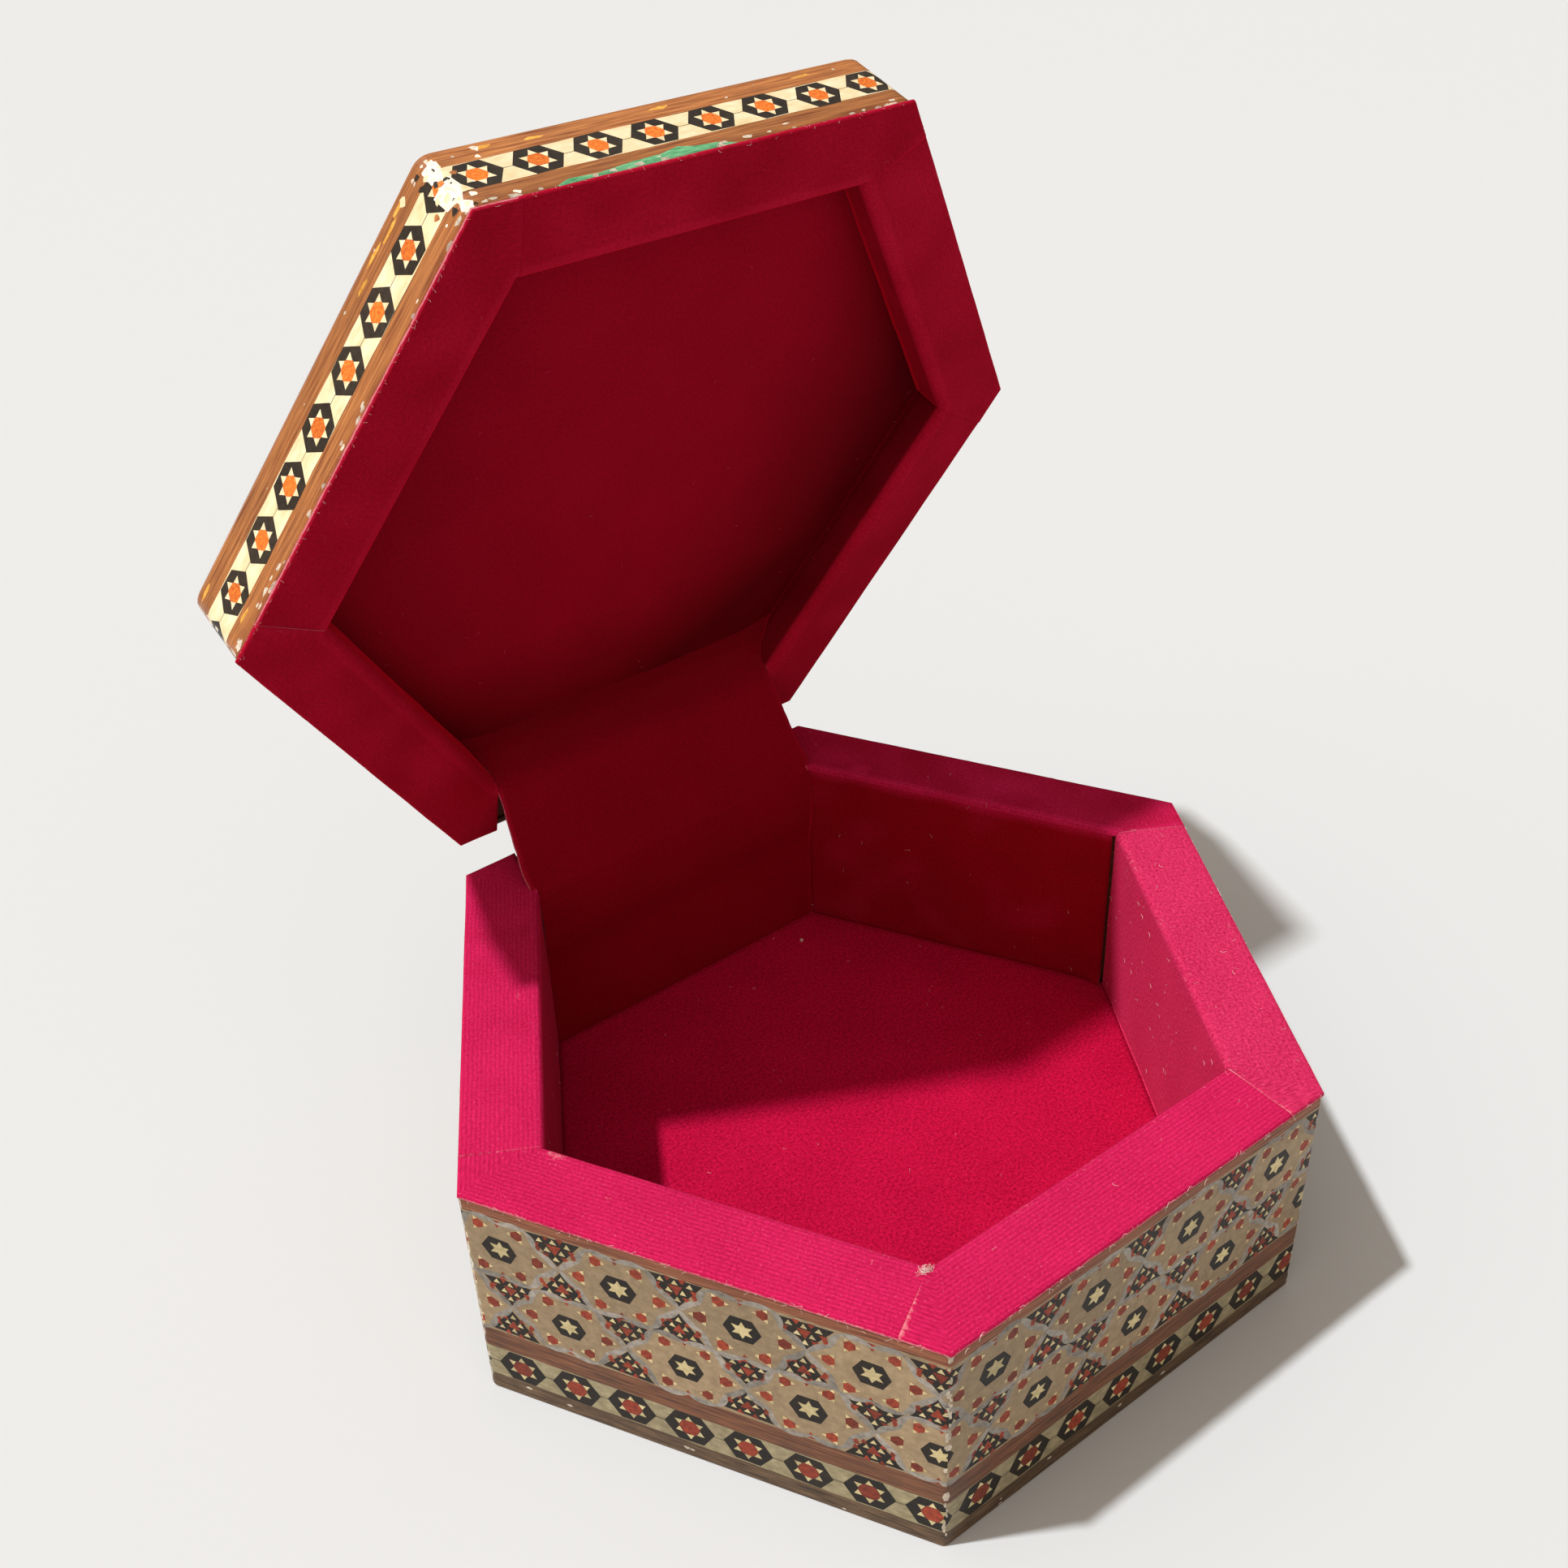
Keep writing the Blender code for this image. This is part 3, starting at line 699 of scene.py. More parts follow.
# %% Cut the six sheets of the base
def base_side(side, first_rosette, second_rosette, first_star, seed):
    """The starts are the first motif's distance from the left corner, seen from outside."""
    bend, behind, outline, folds, reach = side_bend(BOX_FACE, VENEER, 0, VENEER_TOP, 1.2, 0.25)
    rows = [(rosette, first_rosette, FIRST_ROW, 0), (rosette, second_rosette, SECOND_ROW, 1)]
    for start, height, shift in ((first_rosette, FIRST_ROW, 0), (second_rosette, SECOND_ROW, 1)):
        rows.append((triangle_down, start - PITCH / 2, height, 2 + shift))
        rows.append((triangle_up, start - PITCH / 2, height, 4 + shift))
    field = []
    for motif, start, height, number in rows:
        while start > -PITCH / 2:
            start -= PITCH
        field += lay_row(motif, start - HALF_SIDE, 6, PITCH * 0.998, height, seed * 10 + number)
    pieces = [
        strip("tan", FIELD[0], FIELD[1], reach, seed),
        strip("top_strip", TOP_STRIP[0], TOP_STRIP[1], reach, seed + 1, 5, 0.16),
        strip("strip", MIDDLE_STRIP[0], MIDDLE_STRIP[1], reach, seed + 2, 5),
        strip("olive", STAR_BAND[0], STAR_BAND[1], reach, seed + 3),
        strip("foot", -1, STAR_BAND[0], reach, seed + 4, 5),
    ]
    middle = sum(STAR_BAND) / 2
    pieces.append(strip("ebony", middle - 0.06, middle + 0.06, reach, seed + 5, 1, 0.02))
    pieces += hand_cut(field, 0.22, 3.0, seed)
    first = first_star - HALF_SIDE - STAR_PITCH
    star_row = lay_row(base_star, first, 10, STAR_PITCH, middle, seed * 10 + 6)
    pieces += hand_cut(star_row, 0.1, 2.0, seed)
    pieces += corner_filler(reach, 0, VENEER_TOP, seed, 0.55, 0.42)
    chance = random.Random(seed)
    for number in range(5):
        spot = (chance.uniform(-reach, reach), chance.uniform(0.4, 2.6))
        pieces.append(chip("filler", spot, chance.uniform(0.15, 0.4), seed + number, 8, 1.8))
    place = turned(SIDES[side])
    sheet = closed_sheet(f"marquetry_side_{side}", pieces, outline, folds, bend, behind, place, seed)
    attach(sheet, "base")
    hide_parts(f"khatam_side_{side}")
    return sheet


BASE_STARTS = {
    "front_left": (5.2, 14.1, 5.6, 11),
    "front": (7.3, 15.2, 5.9, 12),
    "front_right": (3.1, 11.8, 4.7, 13),
    "rear_right": (8.6, 17.0, 6.2, 14),
    "rear": (6.0, 14.4, 5.2, 15),
    "rear_left": (9.4, 1.0, 5.0, 16),
}
base_sheets = {side: base_side(side, *starts) for side, starts in BASE_STARTS.items()}
print("faces in the front sheet", len(base_sheets["front"].data.polygons))

# %% [markdown]
# ## The lid's marquetry
# The lid's edge has one band of stars with orange cores on clean bone, between two reddish strips, lighter
# than the base's: partly cleaner lacquer, partly painted light. Its corner at the front left is knocked and
# filled pale, the front strip has a green stain next to the velvet, and small yellow flakes are painted
# glints here and there. The sheet on top isn't seen in the photograph, so it is plain khatam in keeping: a
# field of rosettes in a frame of strips and stars.

# %% Heights of the lid's bands, counted up from the closed lid's rim
LID_BOTTOM = 0.85
LID_STARS = (4.05, 9.35)
LID_SIDE_TOP = 13.2


# %% Cut the six edge sheets of the lid
def lid_side(side, first_star, seed, extras=()):
    bend, behind, outline, folds, reach = side_bend(LID_FACE, VENEER, LID_BOTTOM, LID_SIDE_TOP, 2.6, 0.7)
    middle = sum(LID_STARS) / 2
    pieces = [
        strip("lid_strip", LID_STARS[1], LID_SIDE_TOP + 1, reach, seed),
        strip("ivory", LID_STARS[0], LID_STARS[1], reach, seed + 1),
        strip("lid_strip", -0.5, LID_STARS[0], reach, seed + 2),
        strip("ebony", middle - 0.05, middle + 0.05, reach, seed + 3, 1, 0.02),
    ]
    first = first_star - HALF_SIDE - LID_STAR_PITCH
    row = lay_row(lid_star, first, 10, LID_STAR_PITCH, middle, seed * 10)
    pieces += hand_cut(row, 0.1, 2.0, seed)
    pieces += corner_filler(reach, LID_BOTTOM - 1, LID_SIDE_TOP + 1, seed, 0.35, 0.5)
    chance = random.Random(seed)
    for number in range(26):
        spot = (chance.uniform(-reach, reach), LID_BOTTOM + abs(chance.gauss(0, 0.55)))
        pieces.append(chip("filler", spot, chance.uniform(0.15, 0.5), seed + number, 8, 2.2))
    for number in range(6):
        spot = (chance.uniform(-reach, reach), chance.uniform(9.8, 12.8))
        pieces.append(chip("filler", spot, chance.uniform(0.1, 0.28), seed + 50 + number, 8, 1.5))
    pieces += list(extras)
    place = lid_place @ turned(SIDES[side])
    sheet = closed_sheet(f"lid_marquetry_side_{side}", pieces, outline, folds, bend, behind, place, seed)
    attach(sheet, "lid")
    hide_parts(f"lid_khatam_side_{side}")
    return sheet


def knocked_corner(edge, sign, seed):
    """White filler and broken bits where the lid's corner was knocked. edge is the corner's place."""
    chance = random.Random(seed)
    flakes = [chip("white", (edge, 5.4), 3.4, seed, 9), chip("white", (edge, 9.4), 2.6, seed + 1, 9),
              chip("white", (edge, 2.2), 2.4, seed + 2, 9)]
    for number in range(26):
        spot = (edge - sign * abs(chance.gauss(0, 2.4)), chance.uniform(1.2, 11.8))
        flakes.append(chip(chance.choice(["white", "ivory", "jet", "white", "lid_strip"]), spot,
                           chance.uniform(0.2, 0.8), seed + 3 + number, 10))
    return flakes


def green_stain():
    """The stain along the front strip, next to the velvet. It tapers to both ends."""
    lower = [(x, 0.2) for x in (-21, -16, -12, -8, -4, 0, 5)]
    upper = [(5.2, 0.9), (2, 1.9), (-1, 2.2), (-3, 2.9), (-6, 2.2),
             (-10, 2.1), (-15, 1.5), (-19, 1.8), (-21, 1.1)]
    return [("green", 6, lower + upper)]


# painted glints: small yellow flakes that stand for light caught on the lid's lacquer
def glints(places, seed):
    return [chip("glint", place, 0.42, seed + number, 8, 5.0) for number, place in enumerate(places)]


LEFT_GLINTS = [(16, 11.0), (20, 11.8), (23.5, 11.2), (26.5, 11.7), (-30, 11.6), (-27, 3.2)]
FRONT_GLINTS = [(-25, 11.6), (-18, 11.2), (0, 11.4), (22, 11.3)]
LID_STARTS = {
    "front_left": (6.9, 21, knocked_corner(HALF_SIDE, 1, 5) + glints(LEFT_GLINTS, 3)),
    "front": (4.7, 22, knocked_corner(-HALF_SIDE, -1, 6) + green_stain() + glints(FRONT_GLINTS, 7)),
    "front_right": (5.5, 23, ()),
    "rear_right": (6.4, 24, ()),
    "rear": (5.9, 25, ()),
    "rear_left": (5.0, 26, ()),
}
lid_sheets = {side: lid_side(side, *starts) for side, starts in LID_STARTS.items()}
print("faces in the lid's front sheet", len(lid_sheets["front"].data.polygons))


# %% The sheet on top of the lid
def turned_points(pieces, degrees):
    cosine, sine = math.cos(math.radians(degrees)), math.sin(math.radians(degrees))
    return [(wood, layer, [(x * cosine - y * sine, x * sine + y * cosine) for x, y in points])
            for wood, layer, points in pieces]


def hexagon_points(apothem):
    return ring(6, apothem / math.cos(HALF_CORNER))


TOP_APOTHEM = LID_FACE - VENEER
TOP_BAND = (44.2, 49.6)
TOP_FIELD = 41.9
top_pieces = [("lid_strip", 0, hexagon_points(TOP_APOTHEM + 1)), ("ivory", 1, hexagon_points(TOP_BAND[1])),
              ("lid_strip", 11, hexagon_points(TOP_BAND[0])), ("tan", 12, hexagon_points(TOP_FIELD))]
for turn_number in range(6):
    band = lay_row(lid_star, -20.6, 6, LID_STAR_PITCH, sum(TOP_BAND) / 2, 300 + turn_number)
    top_pieces += turned_points(band, 60 * turn_number)
field_pieces = []
for row_number in range(-4, 5):
    start = -PITCH * 3 + (PITCH / 2 if row_number % 2 else 0)
    for motif, offset in ((rosette, 0), (triangle_down, PITCH / 2), (triangle_up, PITCH / 2)):
        field_pieces += lay_row(motif, start + offset, 7, PITCH, row_number * ROW_STEP, 400 + row_number)


def cut_to_hexagon(points, apothem):
    """Clip a polygon to the field, one side of the hexagon after another."""
    for turn_number in range(6):
        angle = math.radians(90 + 60 * turn_number)
        normal = Vector((math.cos(angle), math.sin(angle)))
        kept = []
        for number, point in enumerate(points):
            before = Vector(points[number - 1])
            here = Vector(point)
            gap_before, gap_here = before.dot(normal) - apothem, here.dot(normal) - apothem
            if (gap_before > 0) != (gap_here > 0):
                kept.append(tuple(before.lerp(here, gap_before / (gap_before - gap_here))))
            if gap_here <= 0:
                kept.append(point)
        points = kept
        if len(points) < 3:
            return []
    return points


for wood, layer, points in hand_cut(field_pieces, 0.2, 3.0, 9):
    clipped = cut_to_hexagon(points, TOP_FIELD)
    if clipped:
        top_pieces.append((wood, layer + 13, clipped))

top_sheet = closed_sheet("lid_marquetry_top", top_pieces, hexagon_points(TOP_APOTHEM), [],
                         lambda u, v: (u, v, LID_THICKNESS),
                         lambda u, v, front: (u, v, LID_THICKNESS - VENEER), lid_place, 31)
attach(top_sheet, "lid")
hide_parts("lid_khatam_top")
for motif in (rosette, triangle_up, triangle_down, base_star, lid_star):
    bpy.data.objects.remove(motif)
print("faces in the top sheet", len(top_sheet.data.polygons))

# %% [markdown]
# ## Velvet
# The lining is crimson cotton velvet. Its ground is woven in rows 0.6 mm apart, which show where the
# pile is worn: on the base's rim. Elsewhere the pile stands and looks dark and even. Light that grazes
# the pile gives the pink sheen. The weave is read from each cloth's own UV map in millimetres, and a
# worn attribute, kept on the points, says how far the pile is gone.


# %% Recipe for velvet
WEAVE_ROW = 0.62
KNOT_STEP = 0.85


def velvet(name, standing, deep, bright, worn, spark, sheen, tint, row_depth, grain=1.3, relief=0.1):
    """standing holds the two colours of upright pile, deep and bright those of rubbed pile, worn is the bare
    ground, spark the pale tips. row_depth is how far the woven rows show, grain how uneven the pile is."""
    material, tree, shader = start_material(name)
    cloth = add_node(tree, "ShaderNodeUVMap", uv_map="weave_mm").outputs[0]
    parts = add_node(tree, "ShaderNodeSeparateXYZ", {0: cloth}).outputs
    thin = add_node(tree, "ShaderNodeAttribute", attribute_name="worn").outputs["Fac"]
    # woven rows that wander a little and break up into knots
    wander = add_node(tree, NOISE, {"Vector": cloth, "Scale": 0.35, "Detail": 2.0}).outputs[0]
    drift = add_node(tree, MATH, {0: wander, 1: 5.0}, operation="MULTIPLY").outputs[0]
    phase = add_node(tree, MATH, {0: parts[1], 1: 2 * math.pi / WEAVE_ROW, 2: drift},
                     operation="MULTIPLY_ADD").outputs[0]
    wave = add_node(tree, MATH, {0: phase}, operation="SINE").outputs[0]
    rows = add_node(tree, MATH, {0: wave, 1: 0.5, 2: 0.5}, operation="MULTIPLY_ADD").outputs[0]
    drift = add_node(tree, MATH, {0: wander, 1: 40.0}, operation="MULTIPLY").outputs[0]
    phase = add_node(tree, MATH, {0: parts[0], 1: 2 * math.pi / KNOT_STEP, 2: drift},
                     operation="MULTIPLY_ADD").outputs[0]
    wave = add_node(tree, MATH, {0: phase}, operation="SINE").outputs[0]
    knots = add_node(tree, MATH, {0: wave, 1: 0.3, 2: 0.7}, operation="MULTIPLY_ADD").outputs[0]
    rows = add_node(tree, MATH, {0: rows, 1: knots}, operation="MULTIPLY").outputs[0]
    depth = add_node(tree, MATH, {0: thin, 1: row_depth}, operation="MULTIPLY").outputs[0]
    rows = add_node(tree, MATH, {0: rows, 1: depth}, operation="MULTIPLY").outputs[0]
    # pile of uneven height, brushed this way and that
    pile = add_node(tree, NOISE, {"Vector": cloth, "Scale": 2.2, "Detail": 3.0, "Roughness": 0.75}).outputs[0]
    brushed = add_node(tree, NOISE,
                       {"Vector": cloth, "Scale": 0.08, "Detail": 3.0, "Roughness": 0.5}).outputs[0]
    share = add_node(tree, MATH, {0: pile, 1: grain, 2: 0.22 - grain / 2},
                     operation="MULTIPLY_ADD").outputs[0]
    share = add_node(tree, MATH, {0: brushed, 1: 0.4, 2: share}, operation="MULTIPLY_ADD").outputs[0]
    share = add_node(tree, MATH, {0: share, 1: rows}, operation="ADD", use_clamp=True).outputs[0]
    colour = add_node(tree, MIX, {0: share, 6: linear(deep), 7: linear(bright)}, data_type="RGBA").outputs[2]
    upright = add_node(tree, MIX, {0: share, 6: linear(standing[0]), 7: linear(standing[1])},
                       data_type="RGBA").outputs[2]
    rubbed = add_node(tree, MAP_RANGE, {0: thin, 1: 0.1, 2: 0.4}).outputs[0]
    colour = add_node(tree, MIX, {0: rubbed, 6: upright, 7: colour}, data_type="RGBA").outputs[2]
    # pale tips, and bare ground where the pile is gone
    tips = add_node(tree, NOISE, {"Vector": cloth, "Scale": 3.1, "Detail": 1.0}).outputs[0]
    tips = add_node(tree, MAP_RANGE, {0: tips, 1: 0.69, 2: 0.8, 4: 0.75}).outputs[0]
    tips = add_node(tree, MATH, {0: tips, 1: thin}, operation="MULTIPLY").outputs[0]
    colour = add_node(tree, MIX, {0: tips, 6: colour, 7: linear(spark)}, data_type="RGBA").outputs[2]
    fray = add_node(tree, NOISE, {"Vector": cloth, "Scale": 1.6, "Detail": 5.0, "Roughness": 0.7}).outputs[0]
    gone = add_node(tree, MATH, {0: fray, 1: 0.7, 2: thin}, operation="MULTIPLY_ADD").outputs[0]
    gone = add_node(tree, MAP_RANGE, {0: gone, 1: 1.05, 2: 1.35}).outputs[0]
    colour = add_node(tree, MIX, {0: gone, 6: colour, 7: linear(worn)}, data_type="RGBA").outputs[2]
    # painted shade: the laid attribute darkens the colour, down to 0.3 of it
    laid = add_node(tree, "ShaderNodeAttribute", attribute_name="laid").outputs["Fac"]
    darker = add_node(tree, MAP_RANGE, {0: laid, 3: 1.0, 4: 0.3}).outputs[0]
    darker_colour = add_node(tree, "ShaderNodeCombineColor", {0: darker, 1: darker, 2: darker}).outputs[0]
    colour = add_node(tree, MIX, {0: 1.0, 6: colour, 7: darker_colour},
                      data_type="RGBA", blend_type="MULTIPLY").outputs[2]
    tree.links.new(colour, shader.inputs["Base Color"])
    shader.inputs["Roughness"].default_value = 0.95
    shader.inputs["Specular IOR Level"].default_value = 0.03
    shader.inputs["Sheen Weight"].default_value = sheen
    shader.inputs["Sheen Roughness"].default_value = 0.32
    shader.inputs["Sheen Tint"].default_value = linear(tint)
    height = add_node(tree, MATH, {0: pile, 1: 0.7, 2: rows}, operation="MULTIPLY_ADD").outputs[0]
    bumped = add_node(tree, "ShaderNodeBump",
                      {"Strength": 0.8, "Distance": relief * MM, "Height": height}).outputs[0]
    tree.links.new(bumped, shader.inputs["Normal"])
    return material


# %% The velvets of the box
# The rim is rubbed so that its rows show, most of all on the right where it is scuffed all over. The floor is
# brushed and has no rows to show. In the lid and on the flap the pile still stands, and their velvet is a
# darker copy of the floor's: painted shade.
RIM_PILE = ("#720412", "#a60d28")
rim_velvet = velvet("worn crimson velvet", RIM_PILE, "#8c0630", "#d3265f", worn="#e8a3a6", spark="#f28cae",
                    sheen=0.6, tint="#ff3a6c", row_depth=0.75, grain=1.2)
speckled_velvet = velvet("scuffed crimson velvet", RIM_PILE, "#98103a", "#dc3a6c", worn="#e8a3a6",
                         spark="#f7a8bd", sheen=0.6, tint="#ff3a6c", row_depth=0.15, grain=2.2)
floor_velvet = velvet("sunlit crimson velvet", ("#8a0326", "#cf1246"), "#8a0326", "#d3164a", worn="#d98a90",
                      spark="#f06a90", sheen=0.5, tint="#ff1c4c", row_depth=0.0, grain=2.4)
# a darker copy of the floor's velvet, as painted shade, for the lid and the flap
pile_velvet_with_painted_shade = velvet("standing crimson velvet with painted shade", ("#770417", "#a60c28"), "#860820", "#c4183c", worn="#c87a84",
                     spark="#c94a64", sheen=0.9, tint="#ff1238", row_depth=0.25)
cut_edge = velvet("cut edge of velvet, pale ground threads", ("#8c1c34", "#b8506a"), "#a8304c", "#d77f93",
                  worn="#e0a5ac", spark="#f2c5c9", sheen=0.2, tint="#ff6080", row_depth=0.0)


# %% The cloth maker: a grid of points becomes a cloth with its map and wear
def cloth_object(name, grid_faces, places, maps, wears, place, thickness, material, side=-1.0, laid=None):
    """places, maps, wears and laid go by point, grid_faces hold point numbers. laid is painted shade, how far
    the colour is darkened. side is where the thickness goes: -1 behind the faces, 0 on both sides of them."""
    mesh = bpy.data.meshes.new(name)
    model = bmesh.new()
    worn_layer = model.verts.layers.float.new("worn")
    # this layer holds painted shade, how far each point's colour is darkened
    painted_shade_layer = model.verts.layers.float.new("laid")
    map_layer = model.loops.layers.uv.new("weave_mm")
    verts = [model.verts.new(point) for point in places]
    for numbers in grid_faces:
        model.faces.new([verts[number] for number in numbers])
    model.verts.index_update()
    for vert, wear, painted_shade_value in zip(verts, wears, laid or [0.0] * len(verts)):
        vert[worn_layer] = wear
        vert[painted_shade_layer] = painted_shade_value
    for face in model.faces:
        face.smooth = True
        for loop in face.loops:
            loop[map_layer].uv = maps[loop.vert.index]
    bmesh.ops.remove_doubles(model, verts=model.verts, dist=0.001)
    bmesh.ops.transform(model, matrix=to_metres @ place, verts=model.verts)
    model.to_mesh(mesh)
    model.free()
    mesh.materials.append(material)
    mesh.materials.append(cut_edge)
    cloth = bpy.data.objects.new(name, mesh)
    bpy.context.scene.collection.objects.link(cloth)
    thick = cloth.modifiers.new("cloth_thickness", "SOLIDIFY")
    thick.thickness = thickness * MM
    thick.offset = side
    thick.use_even_offset = False
    thick.material_offset_rim = 1
    return cloth


def ripple(x, y, z, reach, seed):
    return noise.noise(Vector((x / reach, y / reach, z / reach + seed * 3.7)))


# %% [markdown]
# ## The rim strips
# Each strip of velvet covers one side of the rim, turns over the inner edge and runs down the wall.
# The strips were laid in turn, so each one laps over the corner and hides the square-cut end of the
# one before. That puts the seam beside the corner and square to the side, as the photograph shows.
# A strip is one grid: columns along the side, then more columns fanned around the corner.


# %% The rows of a rim strip, from its outer lip to the foot of the wall
CLOTH_THICKNESS = 0.72
FLAT_STEPS = 13
WALL_STEP = 1.6


def rim_rows(width, level, foot, curve):
    """Pairs of the distance out from the lining and the height."""
    rows = [(width + 0.05, level - 0.74), (width + 0.07, level - 0.5), (width + 0.03, level - 0.22),
            (width - 0.16, level - 0.05)]
    flat = width - 0.45
    rows += [(flat - (flat - curve) * step / FLAT_STEPS, level) for step in range(FLAT_STEPS + 1)]
    for degrees in (22, 45, 68, 90):
        angle = math.radians(degrees)
        rows.append((curve * (1 - math.sin(angle)), level - curve * (1 - math.cos(angle))))
    depth = level - curve - foot
    wall_steps = max(3, round(depth / WALL_STEP))
    rows += [(0.0, level - curve - depth * step / wall_steps) for step in range(1, wall_steps + 1)]
    return rows


# %% The columns, and the lap that fans round a corner
COLUMNS = 72
FAN = 8


def rim_columns(plus, minus):
    """Columns as (kind, sign of the end, share of the way, how far a lap runs over the next side)."""
    columns = []
    if minus[0] == "lap":
        columns += [("fan", -1, 1 - step / FAN, minus[1]) for step in range(FAN)]
    columns += [("run", 0, step / COLUMNS, 0) for step in range(COLUMNS + 1)]
    if plus[0] == "lap":
        columns += [("fan", 1, (step + 1) / FAN, plus[1]) for step in range(FAN)]
    return columns


def lap_end(inner, width, w, share, sign, over):
    """A point of the lap: fanned from the mitre line to the square line on the next side."""
    corner_in = Vector((inner * TAN_HALF, inner))
    corner_out = Vector(((inner + width) * TAN_HALF, inner + width))
    next_normal = Vector((math.sin(math.radians(60)), math.cos(math.radians(60))))
    next_along = Vector((-next_normal.y, next_normal.x))
    square = corner_in + next_normal * width - next_along * over
    spot = corner_in + (corner_out.lerp(square, share) - corner_in) * (w / width)
    return sign * spot.x, spot.y


# %% Build one rim strip
TUCKED_UNDER = 0.35
LAP_RISE = 0.09
CURL_HEIGHT = 3.4
CURL_REACH = 3.2
LIP_ROWS = 3
CLOSE_ENDS = (-0.1, -0.1)


def rim_strip(name, inner, width, level, foot, place, seed, material, wear, plus, minus, curve=0.9, scuffs=(),
              gaps=CLOSE_ENDS, wall_wear=0.75, curl=0.0, seam_wear=0.28, wall_painted_shade=0.0, lip=(0.7, 0.3, 0.05)):
    """plus and minus say how the ends finish: lap (over the corner) or cut (square). gaps are how far the
    wall's ends stay short of the corners, and curl is how far its foot has come away. wear, scuffs,
    wall_wear, seam_wear and lip say how far the pile is rubbed, and the last argument how far painted shade
    darkens the wall."""
    corner = inner * TAN_HALF
    lined = []
    places, maps, wears, painted_shades = [], [], [], []
    for row_number, (w, z) in enumerate(rim_rows(width, level, foot, curve)):
        line = []
        for kind, sign, share, over in rim_columns(plus, minus):
            held = max(w, 0.0)
            if kind == "run":
                wide = (inner + held) * TAN_HALF
                right_end = corner + TUCKED_UNDER if plus[0] == "cut" else wide
                left_end = -corner - TUCKED_UNDER if minus[0] == "cut" else -wide
                if w <= 0.0:
                    right_end = corner - gaps[0]
                    left_end = gaps[1] - corner
                x, y = left_end + (right_end - left_end) * share, inner + w
            else:
                x, y = lap_end(inner, width, held, share, sign, over)
                if w <= 0.0:
                    x, y = sign * (corner - gaps[0 if sign > 0 else 1]), inner
            line.append(len(places))
            on_rim = z > level - 0.3
            on_lip = row_number < LIP_ROWS
            on_wall = z < level - 1.5
            lift = ripple(x, y, z, 9, seed) * 0.06 + ripple(x, y, z, 2.4, seed) * 0.02
            raised = LAP_RISE * share ** 3 if kind == "fan" and w > 0.5 else 0.0
            if on_lip:
                ragged = ripple(x, y, 0, 1.1, seed + 5) * 0.12 * (LIP_ROWS - row_number) / LIP_ROWS
                places.append((x, y + ripple(x, y, 0, 6, seed) * 0.04, z + ragged + raised))
            elif on_rim:
                places.append((x, y, z + lift + raised))
            else:
                loose = curl * max(0.0, 1 - (z - foot) / CURL_HEIGHT) ** 2
                loose *= max(0.0, 1 - (corner - x) / CURL_REACH)
                places.append((x, y - (lift * 1.6 if on_wall else 0.0) - 0.03 - loose, z))
            # the map follows the cloth over the lip and down the wall
            down_the_lip = level - z if row_number <= LIP_ROWS else 0.0
            maps.append((x, w + down_the_lip if w > 0 else z - level))
            # painted shade darkens the cloth on the wall
            painted_shades.append(wall_painted_shade if on_wall else 0.0)
            along_end = min(abs(x + corner) if minus[0] == "cut" else 99,
                            abs(x - corner) if plus[0] == "cut" else 99)
            lip_wear = lip[row_number] if on_lip else 0.0
            end_wear = seam_wear * 0.3 * max(0.0, 1 - along_end / 0.4) if on_rim else 0.0
            lap_wear = seam_wear * share ** 8 if kind == "fan" and on_rim else 0.0
            fold_wear = 0.12 if 0 < w < curve * 1.2 else 0.0
            patch = 0.14 * ripple(x, y, z, 7, seed + 2)
            scuffed = sum(strength * max(0.0, 1 - math.hypot(x - at_x, w - at_w) / reach) ** 0.5
                          for at_x, at_w, reach, strength in scuffs) if on_rim else 0.0
            own = wear if on_rim or z > level - 1.2 else wall_wear * wear
            rubbed = own + patch + scuffed + max(lip_wear, end_wear, lap_wear, fold_wear)
            wears.append(min(1.0, max(0.0, rubbed)))
        lined.append(line)
    faces = []
    for above, below in zip(lined, lined[1:]):
        for column in range(len(above) - 1):
            faces.append((below[column], below[column + 1], above[column + 1], above[column]))
    return cloth_object(name, faces, places, maps, wears, place, CLOTH_THICKNESS, material, laid=painted_shades)


# %% Lay the strips of the base and of the lid
BASE_ENDS = {
    "rear_left": (("lap", 2.2), ("cut", 0)),
    "front_left": (("lap", 0), ("cut", 0)),
    "front": (("lap", 0), ("cut", 0)),
    "front_right": (("lap", 0), ("cut", 0)),
    "rear_right": (("lap", 0), ("lap", 2.2)),
}
LID_ENDS = {
    "rear_left": (("lap", 0), ("lap", 0)),
    "front_left": (("lap", 0), ("cut", 0)),
    "front": (("lap", 0), ("cut", 0)),
    "front_right": (("lap", 0), ("cut", 0)),
    "rear_right": (("lap", 0), ("cut", 0)),
}
# rubbed places as (along the side, in from the lining, radius, strength)
BASE_SCUFFS = {
    "rear_left": ((3.0, 3.2, 1.3, 0.26), (6.0, 4.0, 0.9, 0.22), (-20, 9.5, 1.5, 0.2)),
    "front_left": ((24, 1.6, 2.2, 0.25),),
    "front_right": ((-24, 5, 3.5, 0.16), (20, 6, 5, 0.06), (3, 7, 5, 0.05)),
    "rear_right": ((8, 6, 4, 0.12), (-18, 2, 2, 0.2)),
}
